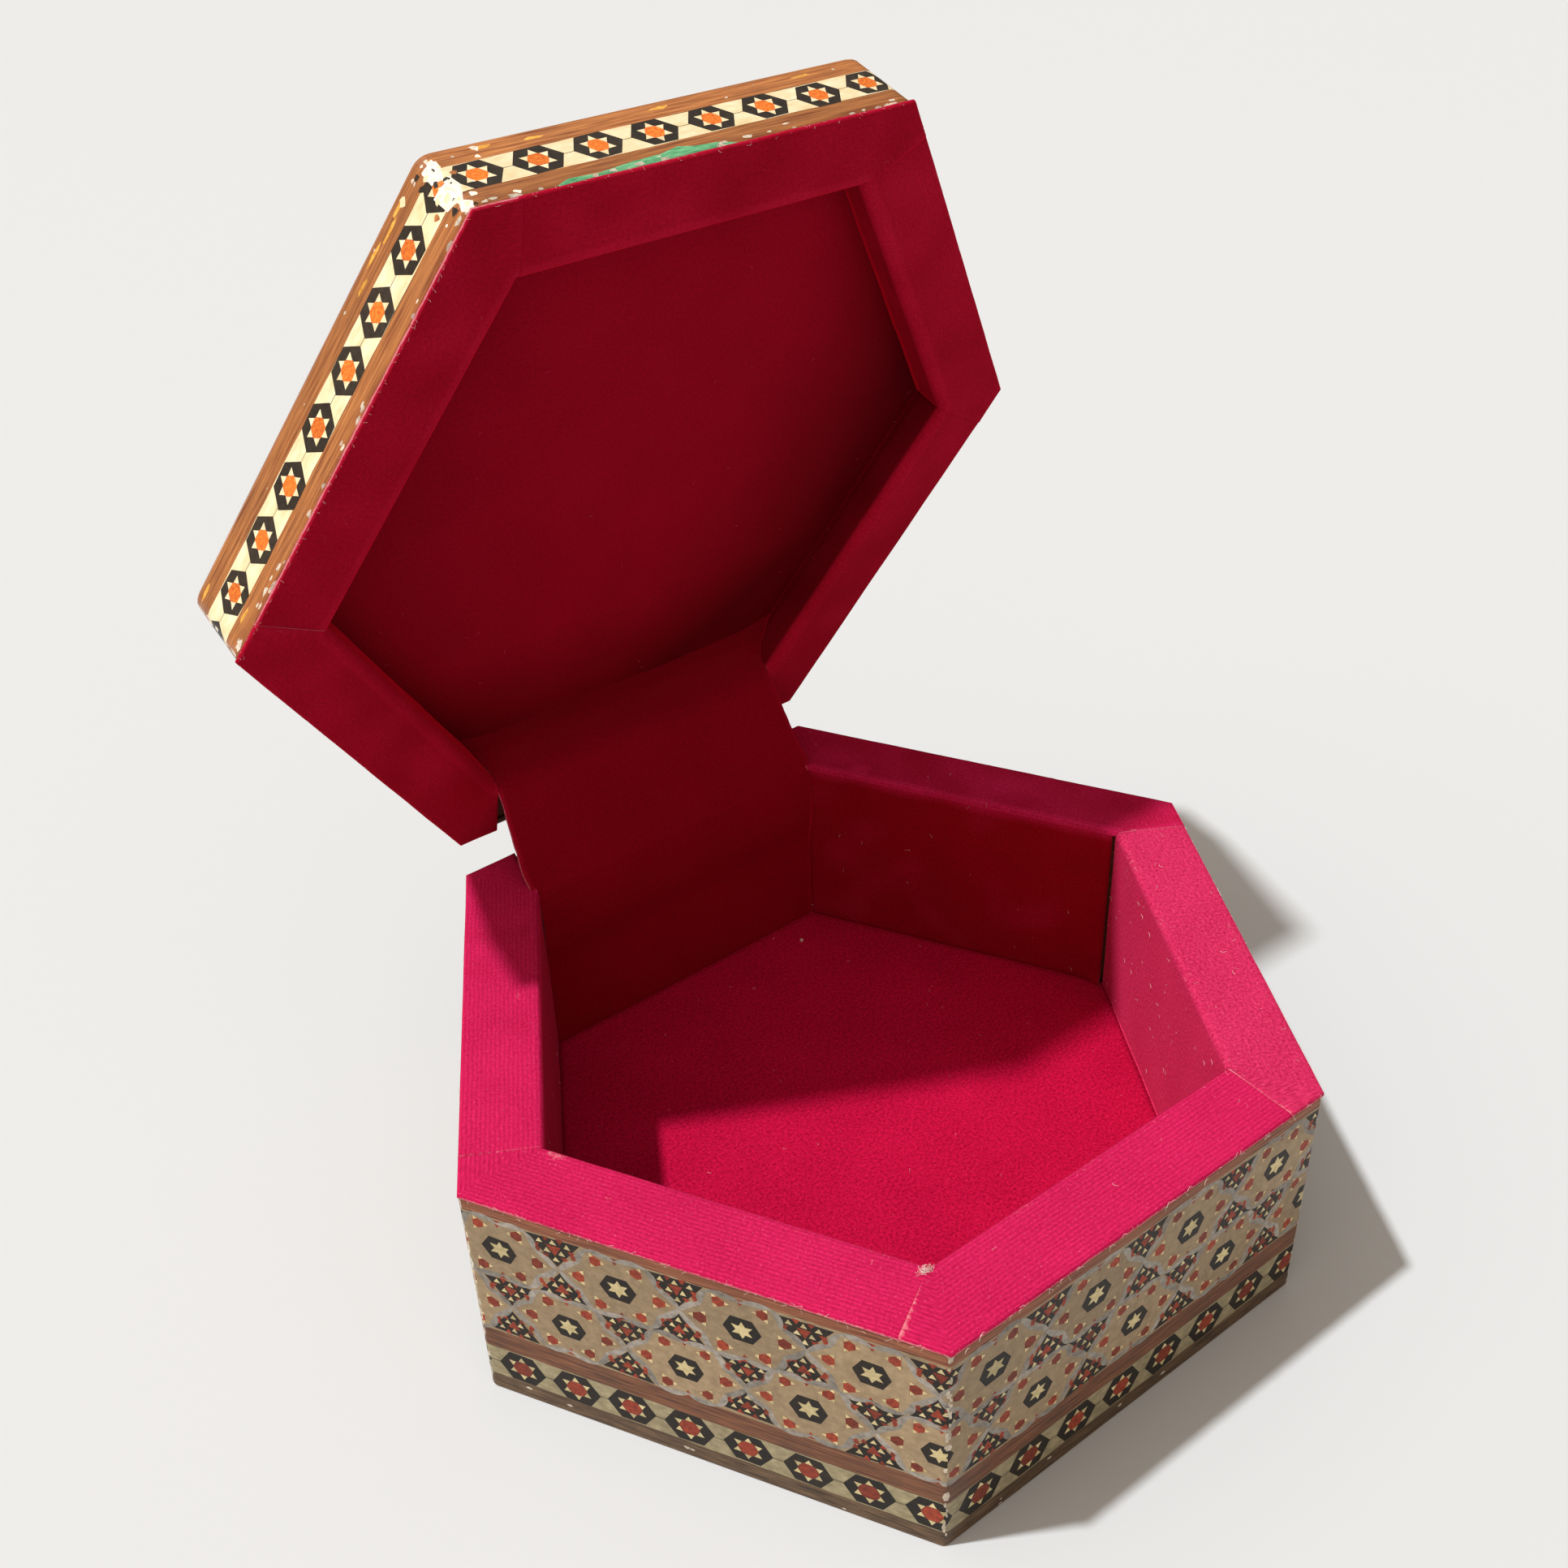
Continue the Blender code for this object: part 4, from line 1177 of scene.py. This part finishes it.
# where a side's cloth differs from the rest, the first value of a pair is for the right end
BASE_GAPS = {"rear_right": (0.6, -0.1)}
BASE_CURLS = {"rear_right": 2.6}
BASE_RIM_WEAR = {"rear_right": 0.28, "rear_left": 0.42, "front_right": 0.48}
LID_RIM_WEAR = {"rear_left": 0.18, "front_left": 0.2, "front": 0.23}
WALL_WEAR = {"front_right": 1.2, "front": 0.9}
# painted shade on each side's wall: how far its colour is darkened
BASE_WALL_PAINTED_SHADE = {"rear_left": 0.55}
LID_WALL_PAINTED_SHADE = {"rear_right": 0.75, "rear_left": 0.3, "front_right": 0.6}
FRAYED_LIP = (1.0, 0.8, 0.25)
PLAIN_LIP = (0.7, 0.2, 0.0)
for number, side in enumerate(LINED_SIDES):
    plus_end, minus_end = BASE_ENDS[side]
    cloth = rim_strip(f"velvet_rim_{side}", BOX_LINING, RIM_WIDTH, BOX_HEIGHT, LINING_FOOT,
                      turned(SIDES[side]), number, speckled_velvet if side == "front_right" else rim_velvet,
                      BASE_RIM_WEAR.get(side, 0.5), plus_end, minus_end, scuffs=BASE_SCUFFS.get(side, ()),
                      gaps=BASE_GAPS.get(side, CLOSE_ENDS), wall_wear=WALL_WEAR.get(side, 0.3),
                      curl=BASE_CURLS.get(side, 0.0), wall_painted_shade=BASE_WALL_PAINTED_SHADE.get(side, 0.0))
    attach(cloth, "base")
    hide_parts(f"rim_velvet_{side}")
    plus_end, minus_end = LID_ENDS[side]
    cloth = rim_strip(f"lid_velvet_rim_{side}", LID_LINING, LID_RIM_WIDTH, 0.0, -0.9 - RECESS_DEPTH,
                      lid_upside_down @ turned(180 - SIDES[side]), 20 + number, pile_velvet_with_painted_shade,
                      LID_RIM_WEAR.get(side, 0.26), plus_end, minus_end, 1.6, seam_wear=0.12,
                      wall_painted_shade=LID_WALL_PAINTED_SHADE.get(side, 0.0),
                      lip=FRAYED_LIP if side == "front_left" else PLAIN_LIP)
    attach(cloth, "lid")
    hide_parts(f"lid_rim_velvet_{side}")


# %% [markdown]
# ## The floor and the lid's recess
# Both are velvet over card, cut to a hexagon and pressed in. The edges sink where the card ends, and
# the panel in the lid waves a little along its border, because its glue has let go in places.


# %% A hexagon of velvet made of rings of points
def velvet_panel(name, apothem, level, place, seed, material, wear, sink, reach=1.2, wave=0.0,
                 painted_shade_at=lambda x, y: 0.0):
    """sink is how far the edge is lower, over a band as wide as reach. wave is how far it has let go. The
    last argument gives the painted shade at each place.
    """
    rings = 44
    places, maps, wears, painted_shades, first_of = [(0, 0, level)], [(0, 0)], [wear], [painted_shade_at(0, 0)], [0]
    for number in range(1, rings + 1):
        first_of.append(len(places))
        for sector in range(6):
            a = Vector((math.cos(math.radians(60 * sector)), math.sin(math.radians(60 * sector))))
            b = Vector((math.cos(math.radians(60 * sector + 60)), math.sin(math.radians(60 * sector + 60))))
            for step in range(number):
                spot = a.lerp(b, step / number) * apothem / math.cos(HALF_CORNER) * number / rings
                inward = apothem * (1 - number / rings)
                drop = sink * max(0.0, 1 - inward / reach) ** 2
                lift = ripple(spot.x, spot.y, 0, 13, seed) * 0.12
                edge_wave = wave * ripple(spot.x, spot.y, 0, 5, seed + 1) * max(0.0, 1 - inward / 4)
                places.append((spot.x, spot.y, level - drop + lift - max(0.0, edge_wave)))
                maps.append((spot.x, spot.y))
                wears.append(wear + 0.15 * max(0.0, 1 - inward / 0.8))
                painted_shades.append(painted_shade_at(spot.x, spot.y))
    faces = []
    for number in range(1, rings + 1):
        outer_count, inner_count = 6 * number, max(1, 6 * (number - 1))
        for sector in range(6):
            for step in range(number):
                here = first_of[number] + sector * number + step
                following = first_of[number] + (sector * number + step + 1) % outer_count
                inside_here = first_of[number - 1] + (sector * (number - 1) + step) % inner_count
                faces.append((here, following, inside_here))
                if step < number - 1:
                    inside_next = first_of[number - 1] + (sector * (number - 1) + step + 1) % inner_count
                    faces.append((following, inside_next, inside_here))
    return cloth_object(name, faces, places, maps, wears, place, 0.7, material, laid=painted_shades)


def lid_painted_shade(x, y):
    """Painted shade in the lid's recess: darkest on the right and towards the hinge, less on the left."""
    towards_right = max(0.0, (x * 0.92 - y * 0.35 - 8) / 33) ** 1.3
    towards_hinge = 0.9 * max(0.0, 1 - (LID_LINING + y) / 24)
    towards_left = 0.35 * max(0.0, (-x - 12) / 30)
    return min(1.0, towards_right + towards_hinge + towards_left)


floor_panel = velvet_panel("velvet_floor", BOX_LINING + 0.12, FLOOR_HEIGHT, Matrix.Identity(4), 40,
                           floor_velvet, 0.3, 0.1)
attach(floor_panel, "base")
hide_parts("floor_velvet")
# the recess panel carries painted shade, darker on the right and towards the hinge
recess_panel = velvet_panel("velvet_recess", LID_LINING + 0.7, -RECESS_DEPTH, lid_upside_down, 41,
                            pile_velvet_with_painted_shade, 0.1, 0.8, 15, 0.15, lid_painted_shade)
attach(recess_panel, "lid")
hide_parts("lid_recess_velvet")
print("faces in the floor panel", len(floor_panel.data.polygons))

# %% [markdown]
# ## The hinge flap
# One sheet of velvet lines the lid's rear wall, bridges the gap to the base, and runs down the rear wall to
# the floor. It hides the hinges, and it is shaped for the open lid only. Its section is a line of points in
# the box's middle plane. On the left the cloth bows towards the hinge, on the right it is nearly straight, as
# in the photograph.


# %% The flap's section and its grid
def lid_section(outward, height):
    spot = lid_place @ Vector((0, outward, height))
    return Vector((spot.y, spot.z))


def evenly(points, step):
    """The same path with its points a step apart."""
    spaced = [points[0]]
    left_over = step
    for start, end in zip(points, points[1:]):
        run = (end - start).length
        while left_over <= run:
            spaced.append(start.lerp(end, left_over / run))
            left_over += step
        left_over -= run
    return spaced


FLAP_STEP = 0.8
SOFTENING_ROUNDS = 22


def flap_section(bow):
    """Points (y, z) of the middle of the cloth, from the base's floor to the lid's recess."""
    wall_y = BOX_LINING + 0.32
    start = Vector((wall_y, BOX_HEIGHT - 0.4))
    end = lid_section(LID_LINING + 0.32, 0.1)
    chord = end - start
    across = Vector((chord.y, -chord.x)).normalized()
    path = []
    for step in range(33):
        z = FLOOR_HEIGHT + 0.1 + (start.y - FLOOR_HEIGHT - 0.1) * step / 32
        belly = 0.7 * math.sin(math.pi * (z - 23) / 16) ** 2 if 23 < z < 39 else 0.0
        path.append(Vector((wall_y - belly, z - (0.5 if step == 0 else 0.0))))
    for step in range(1, 19):
        share = step / 18
        path.append(start + chord * share + across * bow * 4 * share * (1 - share))
    path += [lid_section(LID_LINING + 0.32, 3.6), lid_section(LID_LINING - 1.6, 5.1)]
    path += [lid_section(LID_LINING - 5.0, 5.7), lid_section(LID_LINING - 7.5, 7.2)]
    path = evenly(path, FLAP_STEP)
    for _ in range(SOFTENING_ROUNDS):
        softened = [before.lerp(after, 0.5).lerp(here, 0.5)
                    for before, here, after in zip(path, path[1:], path[2:])]
        path = [path[0]] + softened + [path[-1]]
    return [Vector((min(point.x, wall_y + 0.2), point.y)) if point.y < 37.8 else point for point in path]


# %% The flap as one cloth
FLAP_HALF = 26.1
BASE_FLAP_HALF = 26.62
STRAIGHT_BOW = 0.15
LEFT_BOW = 2.5
ACROSS_STEPS = 60
flap_places, flap_maps, flap_wears, flap_painted_shade, flap_faces = [], [], [], [], []
section_rows = min(len(flap_section(bow)) for bow in (STRAIGHT_BOW, 1.0, 2.0, STRAIGHT_BOW + LEFT_BOW))
for column in range(ACROSS_STEPS + 1):
    share = -1 + 2 * column / ACROSS_STEPS
    lean = (1 - column / ACROSS_STEPS) ** 1.3
    section = flap_section(LEFT_BOW * lean + STRAIGHT_BOW)[:section_rows]
    run = 0.0
    for number, point in enumerate(section):
        if number:
            run += (point - section[number - 1]).length
        half = BASE_FLAP_HALF + (FLAP_HALF - BASE_FLAP_HALF) * min(1, max(0, (point.y - 41) / 6))
        half += 0.6 * max(0.0, 1 - ((point.y - 39.0) / 3.6) ** 2)
        # the glued end spreads with the walls of the lid's recess
        into_lid = LID_LINING - (lid_place.inverted() @ Vector((0, point.x, point.y))).y
        half += max(0.0, into_lid) * TAN_HALF if point.y > 48 else 0.0
        x = share * half
        loose = math.sin(math.pi * min(1, max(0, (point.y - 16) / 42)))
        slack = ripple(x, point.x, point.y, 12, 60) * (0.08 + 0.5 * loose)
        edge = max(0.0, 1 - (half - abs(x)) / 0.6)
        frayed = ripple(0, point.x, point.y, 2.0, 61) * 0.12
        # at the rim the free edges stand in front of the strips on both sides
        in_front = 0.3 * abs(share) ** 8 * max(0.0, 1 - ((point.y - 38.0) / 6) ** 2)
        flap_places.append((x + frayed, point.x + slack * 0.7 - in_front, point.y - slack * 0.3))
        flap_maps.append((x, run))
        flap_wears.append(0.1 + 0.3 * edge)
        # painted shade: the whole flap a little darker, more in the crease half way down and where the cloth
        # goes up into the lid
        crease = 0.14 * max(0.0, 1 - abs(point.y - 25.7) / 4)
        high_up = 0.5 * min(1.0, max(0.0, (point.y - 51) / 8))
        flap_painted_shade.append(0.12 + crease + high_up)
for column in range(ACROSS_STEPS):
    for number in range(section_rows - 1):
        here = column * section_rows + number
        flap_faces.append((here, here + section_rows, here + section_rows + 1, here + 1))
flap = cloth_object("velvet_hinge_flap", flap_faces, flap_places, flap_maps, flap_wears,
                    Matrix.Identity(4), 0.55, pile_velvet_with_painted_shade, side=0.0, laid=flap_painted_shade)
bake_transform(flap)
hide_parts("flap_in_base", "flap_bridge", "flap_in_lid")

# %% [markdown]
# ## Lint and frayed threads
# Old velvet sheds. Short bent fibres lie on the pile, and pale ground threads stick out where the cloth
# was cut or rubbed through. A Geometry Nodes tree scatters one bent fibre over a surface, turned by
# chance and sized within a range. Narrow patches along an edge, made only to scatter on, give the
# frayed edges. The fibres of one body become one mesh that rides with it.


# %% The fibre and the scattering tree
def bent_fibre():
    """A thread one unit long, lying along X and lifting off at its ends, with three sides."""
    mesh = bpy.data.meshes.new("fibre")
    model = bmesh.new()
    sections = []
    for step in range(6):
        along = step / 5 - 0.5
        centre = Vector((along, 0.35 * math.sin(along * 4), 0.10 + 0.9 * along * along))
        radius = 0.035 * (1 - 0.6 * abs(along))
        sections.append([model.verts.new(centre + Vector((0, radius * math.cos(a), radius * math.sin(a))))
                         for a in (0, 2.1, 4.2)])
    for first, second in zip(sections, sections[1:]):
        for number in range(3):
            following = (number + 1) % 3
            model.faces.new((first[number], first[following], second[following], second[number]))
    model.faces.new(sections[0][::-1])
    model.faces.new(sections[-1])
    bmesh.ops.recalc_face_normals(model, faces=model.faces)
    model.to_mesh(mesh)
    model.free()
    fibre = bpy.data.objects.new("fibre", mesh)
    bpy.context.scene.collection.objects.link(fibre)
    return fibre


def scatter_tree():
    tree = bpy.data.node_groups.new("scattered_fibres", "GeometryNodeTree")
    for name, kind in (("Surface", "NodeSocketGeometry"), ("Fibre", "NodeSocketObject"),
                       ("Fibres per square metre", "NodeSocketFloat"), ("Shortest", "NodeSocketFloat"),
                       ("Longest", "NodeSocketFloat"), ("Seed", "NodeSocketInt"),
                       ("Material", "NodeSocketMaterial")):
        tree.interface.new_socket(name, in_out="INPUT", socket_type=kind)
    tree.interface.new_socket("Geometry", in_out="OUTPUT", socket_type="NodeSocketGeometry")
    given = tree.nodes.new("NodeGroupInput").outputs
    spread = add_node(tree, "GeometryNodeDistributePointsOnFaces",
                      {"Mesh": given["Surface"], "Density": given["Fibres per square metre"],
                       "Seed": given["Seed"]})
    turn = add_node(tree, "FunctionNodeRandomValue", {2: -math.pi, 3: math.pi, "Seed": given["Seed"]},
                    data_type="FLOAT").outputs[1]
    spin = add_node(tree, "ShaderNodeCombineXYZ", {2: turn}).outputs[0]
    lying = add_node(tree, "FunctionNodeRotateRotation",
                     {"Rotation": spread.outputs["Rotation"], "Rotate By": spin},
                     rotation_space="LOCAL").outputs[0]
    size = add_node(tree, "FunctionNodeRandomValue",
                    {2: given["Shortest"], 3: given["Longest"], "Seed": given["Seed"]},
                    data_type="FLOAT").outputs[1]
    shape = add_node(tree, "GeometryNodeObjectInfo", {"Object": given["Fibre"]}).outputs["Geometry"]
    laid = add_node(tree, "GeometryNodeInstanceOnPoints",
                    {"Points": spread.outputs["Points"], "Instance": shape, "Rotation": lying,
                     "Scale": size}).outputs[0]
    result = add_node(tree, "GeometryNodeRealizeInstances", {"Geometry": laid}).outputs[0]
    result = add_node(tree, "GeometryNodeSetMaterial",
                      {"Geometry": result, "Material": given["Material"]}).outputs[0]
    tree.links.new(result, tree.nodes.new("NodeGroupOutput").inputs[0])
    return tree


fibre = bent_fibre()
scattered_fibres = scatter_tree()


def thread_material(name, dark, light):
    """Loose cotton catches the light from every side, so it is pale, matt and a little fuzzy."""
    material, tree, shader = start_material(name)
    place = add_node(tree, "ShaderNodeTexCoord").outputs["Object"]
    shade = add_node(tree, NOISE, {"Vector": place, "Scale": 900.0}).outputs[0]
    shaded = add_node(tree, MIX, {0: shade, 6: linear(dark), 7: linear(light)}, data_type="RGBA").outputs[2]
    tree.links.new(shaded, shader.inputs["Base Color"])
    shader.inputs["Roughness"].default_value = 0.9
    shader.inputs["Sheen Weight"].default_value = 0.4
    return material


pale_thread = thread_material("pale loose cotton", "#d8b8b4", "#f7ece6")
red_thread = thread_material("crimson loose pile", "#b01840", "#e0507c")


# %% Patches to scatter on
def edge_patch(points, width, lift):
    """A narrow ribbon along a line of points in millimetres, facing up along lift."""
    mesh = bpy.data.meshes.new("patch")
    model = bmesh.new()
    facing = Vector(lift).normalized()
    pairs = []
    for number, point in enumerate(points):
        following = points[min(number + 1, len(points) - 1)]
        before = points[max(number - 1, 0)]
        across = (Vector(following) - Vector(before)).cross(facing).normalized() * width / 2
        pairs.append((model.verts.new(Vector(point) - across), model.verts.new(Vector(point) + across)))
    for first, second in zip(pairs, pairs[1:]):
        model.faces.new((first[0], first[1], second[1], second[0]))
    bmesh.ops.transform(model, matrix=to_metres, verts=model.verts)
    model.to_mesh(mesh)
    model.free()
    return mesh


def scatter(mesh, per_square_mm, sizes, material, seed):
    """Scatter fibres over a mesh, by their number per square millimetre and their lengths in millimetres."""
    host = bpy.data.objects.new("fibres", mesh)
    bpy.context.scene.collection.objects.link(host)
    nodes = host.modifiers.new("scattered_fibres", "NODES")
    nodes.node_group = scattered_fibres
    set_inputs(nodes, {"Fibre": fibre, "Fibres per square metre": per_square_mm / MM ** 2,
                       "Shortest": sizes[0] * MM, "Longest": sizes[1] * MM, "Seed": seed,
                       "Material": material})
    scattered = evaluated_mesh(host)
    bpy.data.objects.remove(host)
    return scattered, material


def joined_fibres(name, batches, body):
    """Make one piece of all fibres on a body. batches holds pairs of a mesh and its material."""
    model = bmesh.new()
    threads = [pale_thread, red_thread]
    for mesh, material in batches:
        first = len(model.faces)
        model.from_mesh(mesh)
        model.faces.ensure_lookup_table()
        for face in model.faces[first:]:
            face.material_index = threads.index(material)
    mesh = bpy.data.meshes.new(name)
    model.to_mesh(mesh)
    model.free()
    for material in threads:
        mesh.materials.append(material)
    whole = bpy.data.objects.new(name, mesh)
    bpy.context.scene.collection.objects.link(whole)
    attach(whole, body)
    print(name, len(mesh.polygons), "faces")


def crumb(centre, radius, seed):
    """A broken crumb: the hull around a few points at chance places."""
    chance = random.Random(seed)
    model = bmesh.new()
    for _ in range(12):
        way = Vector((chance.gauss(0, 1), chance.gauss(0, 1), chance.gauss(0, 1))).normalized()
        model.verts.new((centre + way * radius * chance.uniform(0.6, 1.0)) * MM)
    hull = bmesh.ops.convex_hull(model, input=model.verts)
    buried = [item for item in hull["geom_interior"] if isinstance(item, bmesh.types.BMVert)]
    bmesh.ops.delete(model, geom=buried, context="VERTS")
    mesh = bpy.data.meshes.new("crumb")
    model.to_mesh(mesh)
    model.free()
    return mesh


def along(place, start, end, steps=12):
    """Points on a straight line between two places of a turned frame."""
    return [place @ Vector(start).lerp(Vector(end), step / steps) for step in range(steps + 1)]


base_fibres = []
for number, side in enumerate(LINED_SIDES):
    density = {"front_right": 0.03, "front": 0.012}.get(side, 0.006)
    strip_faces = bpy.data.objects[f"velvet_rim_{side}"].data.copy()
    base_fibres.append(scatter(strip_faces, density, (0.25, 0.8), pale_thread, 70 + number))
    # the outer edge, where the cloth was cut along the marquetry
    edge_line = along(turned(SIDES[side]), (-32.5, BOX_FACE + 0.1, 38.1), (32.5, BOX_FACE + 0.1, 38.1))
    facing = turned(SIDES[side]) @ Vector((0, 1, 0.4))
    base_fibres.append(scatter(edge_patch(edge_line, 0.7, facing), 0.9, (0.3, 0.8), pale_thread, 80 + number))
base_fibres.append(scatter(floor_panel.data.copy(), 0.008, (0.2, 0.6), pale_thread, 90))
# the one pale crumb on the floor, near the hinge
base_fibres.append((crumb(Vector((20.1, 40.7, 7.1)), 0.42, 3), pale_thread))
# fluff where the seams start at the inner corners
for number, (x, y) in enumerate([(-0.2, -0.1), (0.3, 0.2)]):
    corner = turned(150) @ Vector((x, BOX_LINING / math.cos(HALF_CORNER) + 0.7 + y, BOX_HEIGHT + 0.05))
    tuft = along(Matrix.Identity(4), corner, corner + Vector((-1.2, 0.5, 0)), 2)
    base_fibres.append(scatter(edge_patch(tuft, 1.0, (0, 0, 1)), 18, (0.4, 1.0), pale_thread, 95 + number))
for number, sign in enumerate((-1, 1)):
    flap_edge = [Vector((sign * 26.3, 46.5, z)) for z in range(20, 39, 2)]
    base_fibres.append(scatter(edge_patch(flap_edge, 0.5, (-sign, -1, 0.3)), 0.8, (0.3, 0.8), red_thread,
                               100 + number))
joined_fibres("base_lint", base_fibres, "base")

lid_fibres = []
for number, side in enumerate(LINED_SIDES):
    strip_faces = bpy.data.objects[f"lid_velvet_rim_{side}"].data.copy()
    lid_fibres.append(scatter(strip_faces, 0.006, (0.2, 0.6), red_thread, 110 + number))
lid_fibres.append(scatter(recess_panel.data.copy(), 0.006, (0.25, 0.7), red_thread, 120))
# the lid's cut edge frays most at the front left: fibres per square millimetre, start and end
frayed_sides = {
    "front_left": (1.5, -32.0, 32.0),
    "front": (0.8, -31.0, 32.0),
    "front_right": (0.3, -32.0, 32.0),
    "rear_left": (0.3, -32.0, 32.0),
}
for number, (side, (density, start, end)) in enumerate(frayed_sides.items()):
    place = lid_place @ turned(SIDES[side])
    edge_line = along(place, (start, LID_FACE - 0.05, 0.25), (end, LID_FACE - 0.05, 0.25), 16)
    patch = edge_patch(edge_line, 0.9, place.to_3x3() @ Vector((0, 1, -0.3)))
    lid_fibres.append(scatter(patch, density, (0.2, 0.55), pale_thread, 130 + number))
joined_fibres("lid_lint", lid_fibres, "lid")
bpy.data.objects.remove(fibre)

# %% [markdown]
# ## Bare wood and brass
# The boards under the lining are plain walnut, seen only from below and at the back. The hinges are
# drawn brass, dull with age. These solids keep their shape, so they only get a finish, read from
# Object coordinates because their meshes have no map of their own.


# %% Walnut and brass
def bare_walnut():
    material, tree, shader = start_material("bare walnut, sawn and rubbed")
    place = add_node(tree, "ShaderNodeTexCoord").outputs["Object"]
    stretched = add_node(tree, "ShaderNodeMapping", {"Vector": place, "Scale": (90, 900, 900)}).outputs[0]
    grain = add_node(tree, NOISE, {"Vector": stretched, "Scale": 1.0, "Detail": 6.0,
                                                  "Roughness": 0.65}).outputs[0]
    share = add_node(tree, MAP_RANGE, {0: grain, 1: 0.3, 2: 0.7}).outputs[0]
    colour = add_node(tree, MIX, {0: share, 6: linear("#3f2716"), 7: linear("#7b5434")},
                      data_type="RGBA").outputs[2]
    tree.links.new(colour, shader.inputs["Base Color"])
    shader.inputs["Roughness"].default_value = 0.7
    bumped = add_node(tree, "ShaderNodeBump",
                      {"Strength": 0.4, "Distance": 0.08 * MM, "Height": grain}).outputs[0]
    tree.links.new(bumped, shader.inputs["Normal"])
    return material


def dull_brass():
    material, tree, shader = start_material("drawn brass, dull with age")
    place = add_node(tree, "ShaderNodeTexCoord").outputs["Object"]
    scratches = add_node(tree, "ShaderNodeMapping", {"Vector": place, "Scale": (300, 3000, 3000)}).outputs[0]
    lines = add_node(tree, NOISE, {"Vector": scratches, "Scale": 1.0, "Detail": 4.0}).outputs[0]
    spots = add_node(tree, NOISE, {"Vector": place, "Scale": 500, "Detail": 4.0}).outputs[0]
    colour = add_node(tree, MIX, {0: spots, 6: linear("#8a6a34"), 7: linear("#c9a560")},
                      data_type="RGBA").outputs[2]
    tree.links.new(colour, shader.inputs["Base Color"])
    shader.inputs["Metallic"].default_value = 1.0
    rough = add_node(tree, MAP_RANGE, {0: spots, 3: 0.28, 4: 0.5}).outputs[0]
    tree.links.new(rough, shader.inputs["Roughness"])
    bumped = add_node(tree, "ShaderNodeBump",
                      {"Strength": 0.25, "Distance": 0.03 * MM, "Height": lines}).outputs[0]
    tree.links.new(bumped, shader.inputs["Normal"])
    return material


walnut = bare_walnut()
brass = dull_brass()
for name, node in frame["nodes"].items():
    finish = brass if name.startswith("hinge_") else walnut
    if not node.hide_render:
        node.data.materials.clear()
        node.data.materials.append(finish)
print("solids that stay", sorted(name for name, node in frame["nodes"].items() if not node.hide_render))

# %% [markdown]
# ## Floor and light
# A plain pale floor, and a high soft lamp behind the left of the box, where the sun stood in the
# photograph. It leaves the lid's inside in its own shade and lights the front rims. The world light
# fills the rest. It is brightest high up on the left, and dimmer and warmer near the horizon.

# %% Floor, lamp and world
floor_mesh = bpy.data.meshes.new("studio_floor")
floor_model = bmesh.new()
bmesh.ops.create_circle(floor_model, cap_ends=True, segments=64, radius=6)
floor_model.to_mesh(floor_mesh)
floor_model.free()
studio_floor = bpy.data.objects.new("studio_floor", floor_mesh)
bpy.context.scene.collection.objects.link(studio_floor)
paper, paper_tree, paper_shader = start_material("pale matt paper")
paper_shader.inputs["Base Color"].default_value = linear("#c4c8cb")
paper_shader.inputs["Roughness"].default_value = 0.95
floor_mesh.materials.append(paper)

LAMP_DIRECTION = Vector((-0.4255, 0.235, 1.0)).normalized()
LAMP_STRENGTH = 3.3
LAMP_SPREAD = math.radians(2.5)
BRIGHT_SIDE = (-0.60, -0.10, 0.79)
lamp_data = bpy.data.lights.new("soft_sun", "SUN")
lamp_data.energy = LAMP_STRENGTH
lamp_data.angle = LAMP_SPREAD
lamp = bpy.data.objects.new("soft_sun", lamp_data)
bpy.context.scene.collection.objects.link(lamp)
lamp.rotation_mode = "QUATERNION"
lamp.rotation_quaternion = LAMP_DIRECTION.to_track_quat("Z", "Y")
lamp.location = LAMP_DIRECTION * 2

world = bpy.data.worlds.new("studio")
world.use_nodes = True
world_tree = world.node_tree
looking = add_node(world_tree, "ShaderNodeTexCoord").outputs["Generated"]
towards = add_node(world_tree, "ShaderNodeVectorMath", {0: looking, 1: BRIGHT_SIDE},
                   operation="DOT_PRODUCT").outputs["Value"]
strength = add_node(world_tree, MAP_RANGE, {0: towards, 1: -0.2, 2: 1.0, 3: 0.15, 4: 0.9}).outputs[0]
height = add_node(world_tree, "ShaderNodeSeparateXYZ", {0: looking}).outputs[2]
clear = add_node(world_tree, MAP_RANGE, {0: height, 1: 0.0, 2: 0.8}).outputs[0]
sky = add_node(world_tree, MIX, {0: clear, 6: linear("#ffd0a0"), 7: linear("#fff3e6")},
               data_type="RGBA").outputs[2]
background = world_tree.nodes["Background"]
world_tree.links.new(sky, background.inputs["Color"])
world_tree.links.new(strength, background.inputs["Strength"])
# the eye sees plain pale paper behind the floor, while the box is lit by the studio
seen = add_node(world_tree, "ShaderNodeLightPath").outputs["Is Camera Ray"]
backdrop = add_node(world_tree, "ShaderNodeBackground", {"Color": linear("#ecebe8")}).outputs[0]
shown = add_node(world_tree, "ShaderNodeMixShader",
                 {0: seen, 1: background.outputs[0], 2: backdrop}).outputs[0]
world_tree.links.new(shown, world_tree.nodes["World Output"].inputs["Surface"])
bpy.context.scene.world = world
bpy.context.scene.view_settings.view_transform = "Standard"
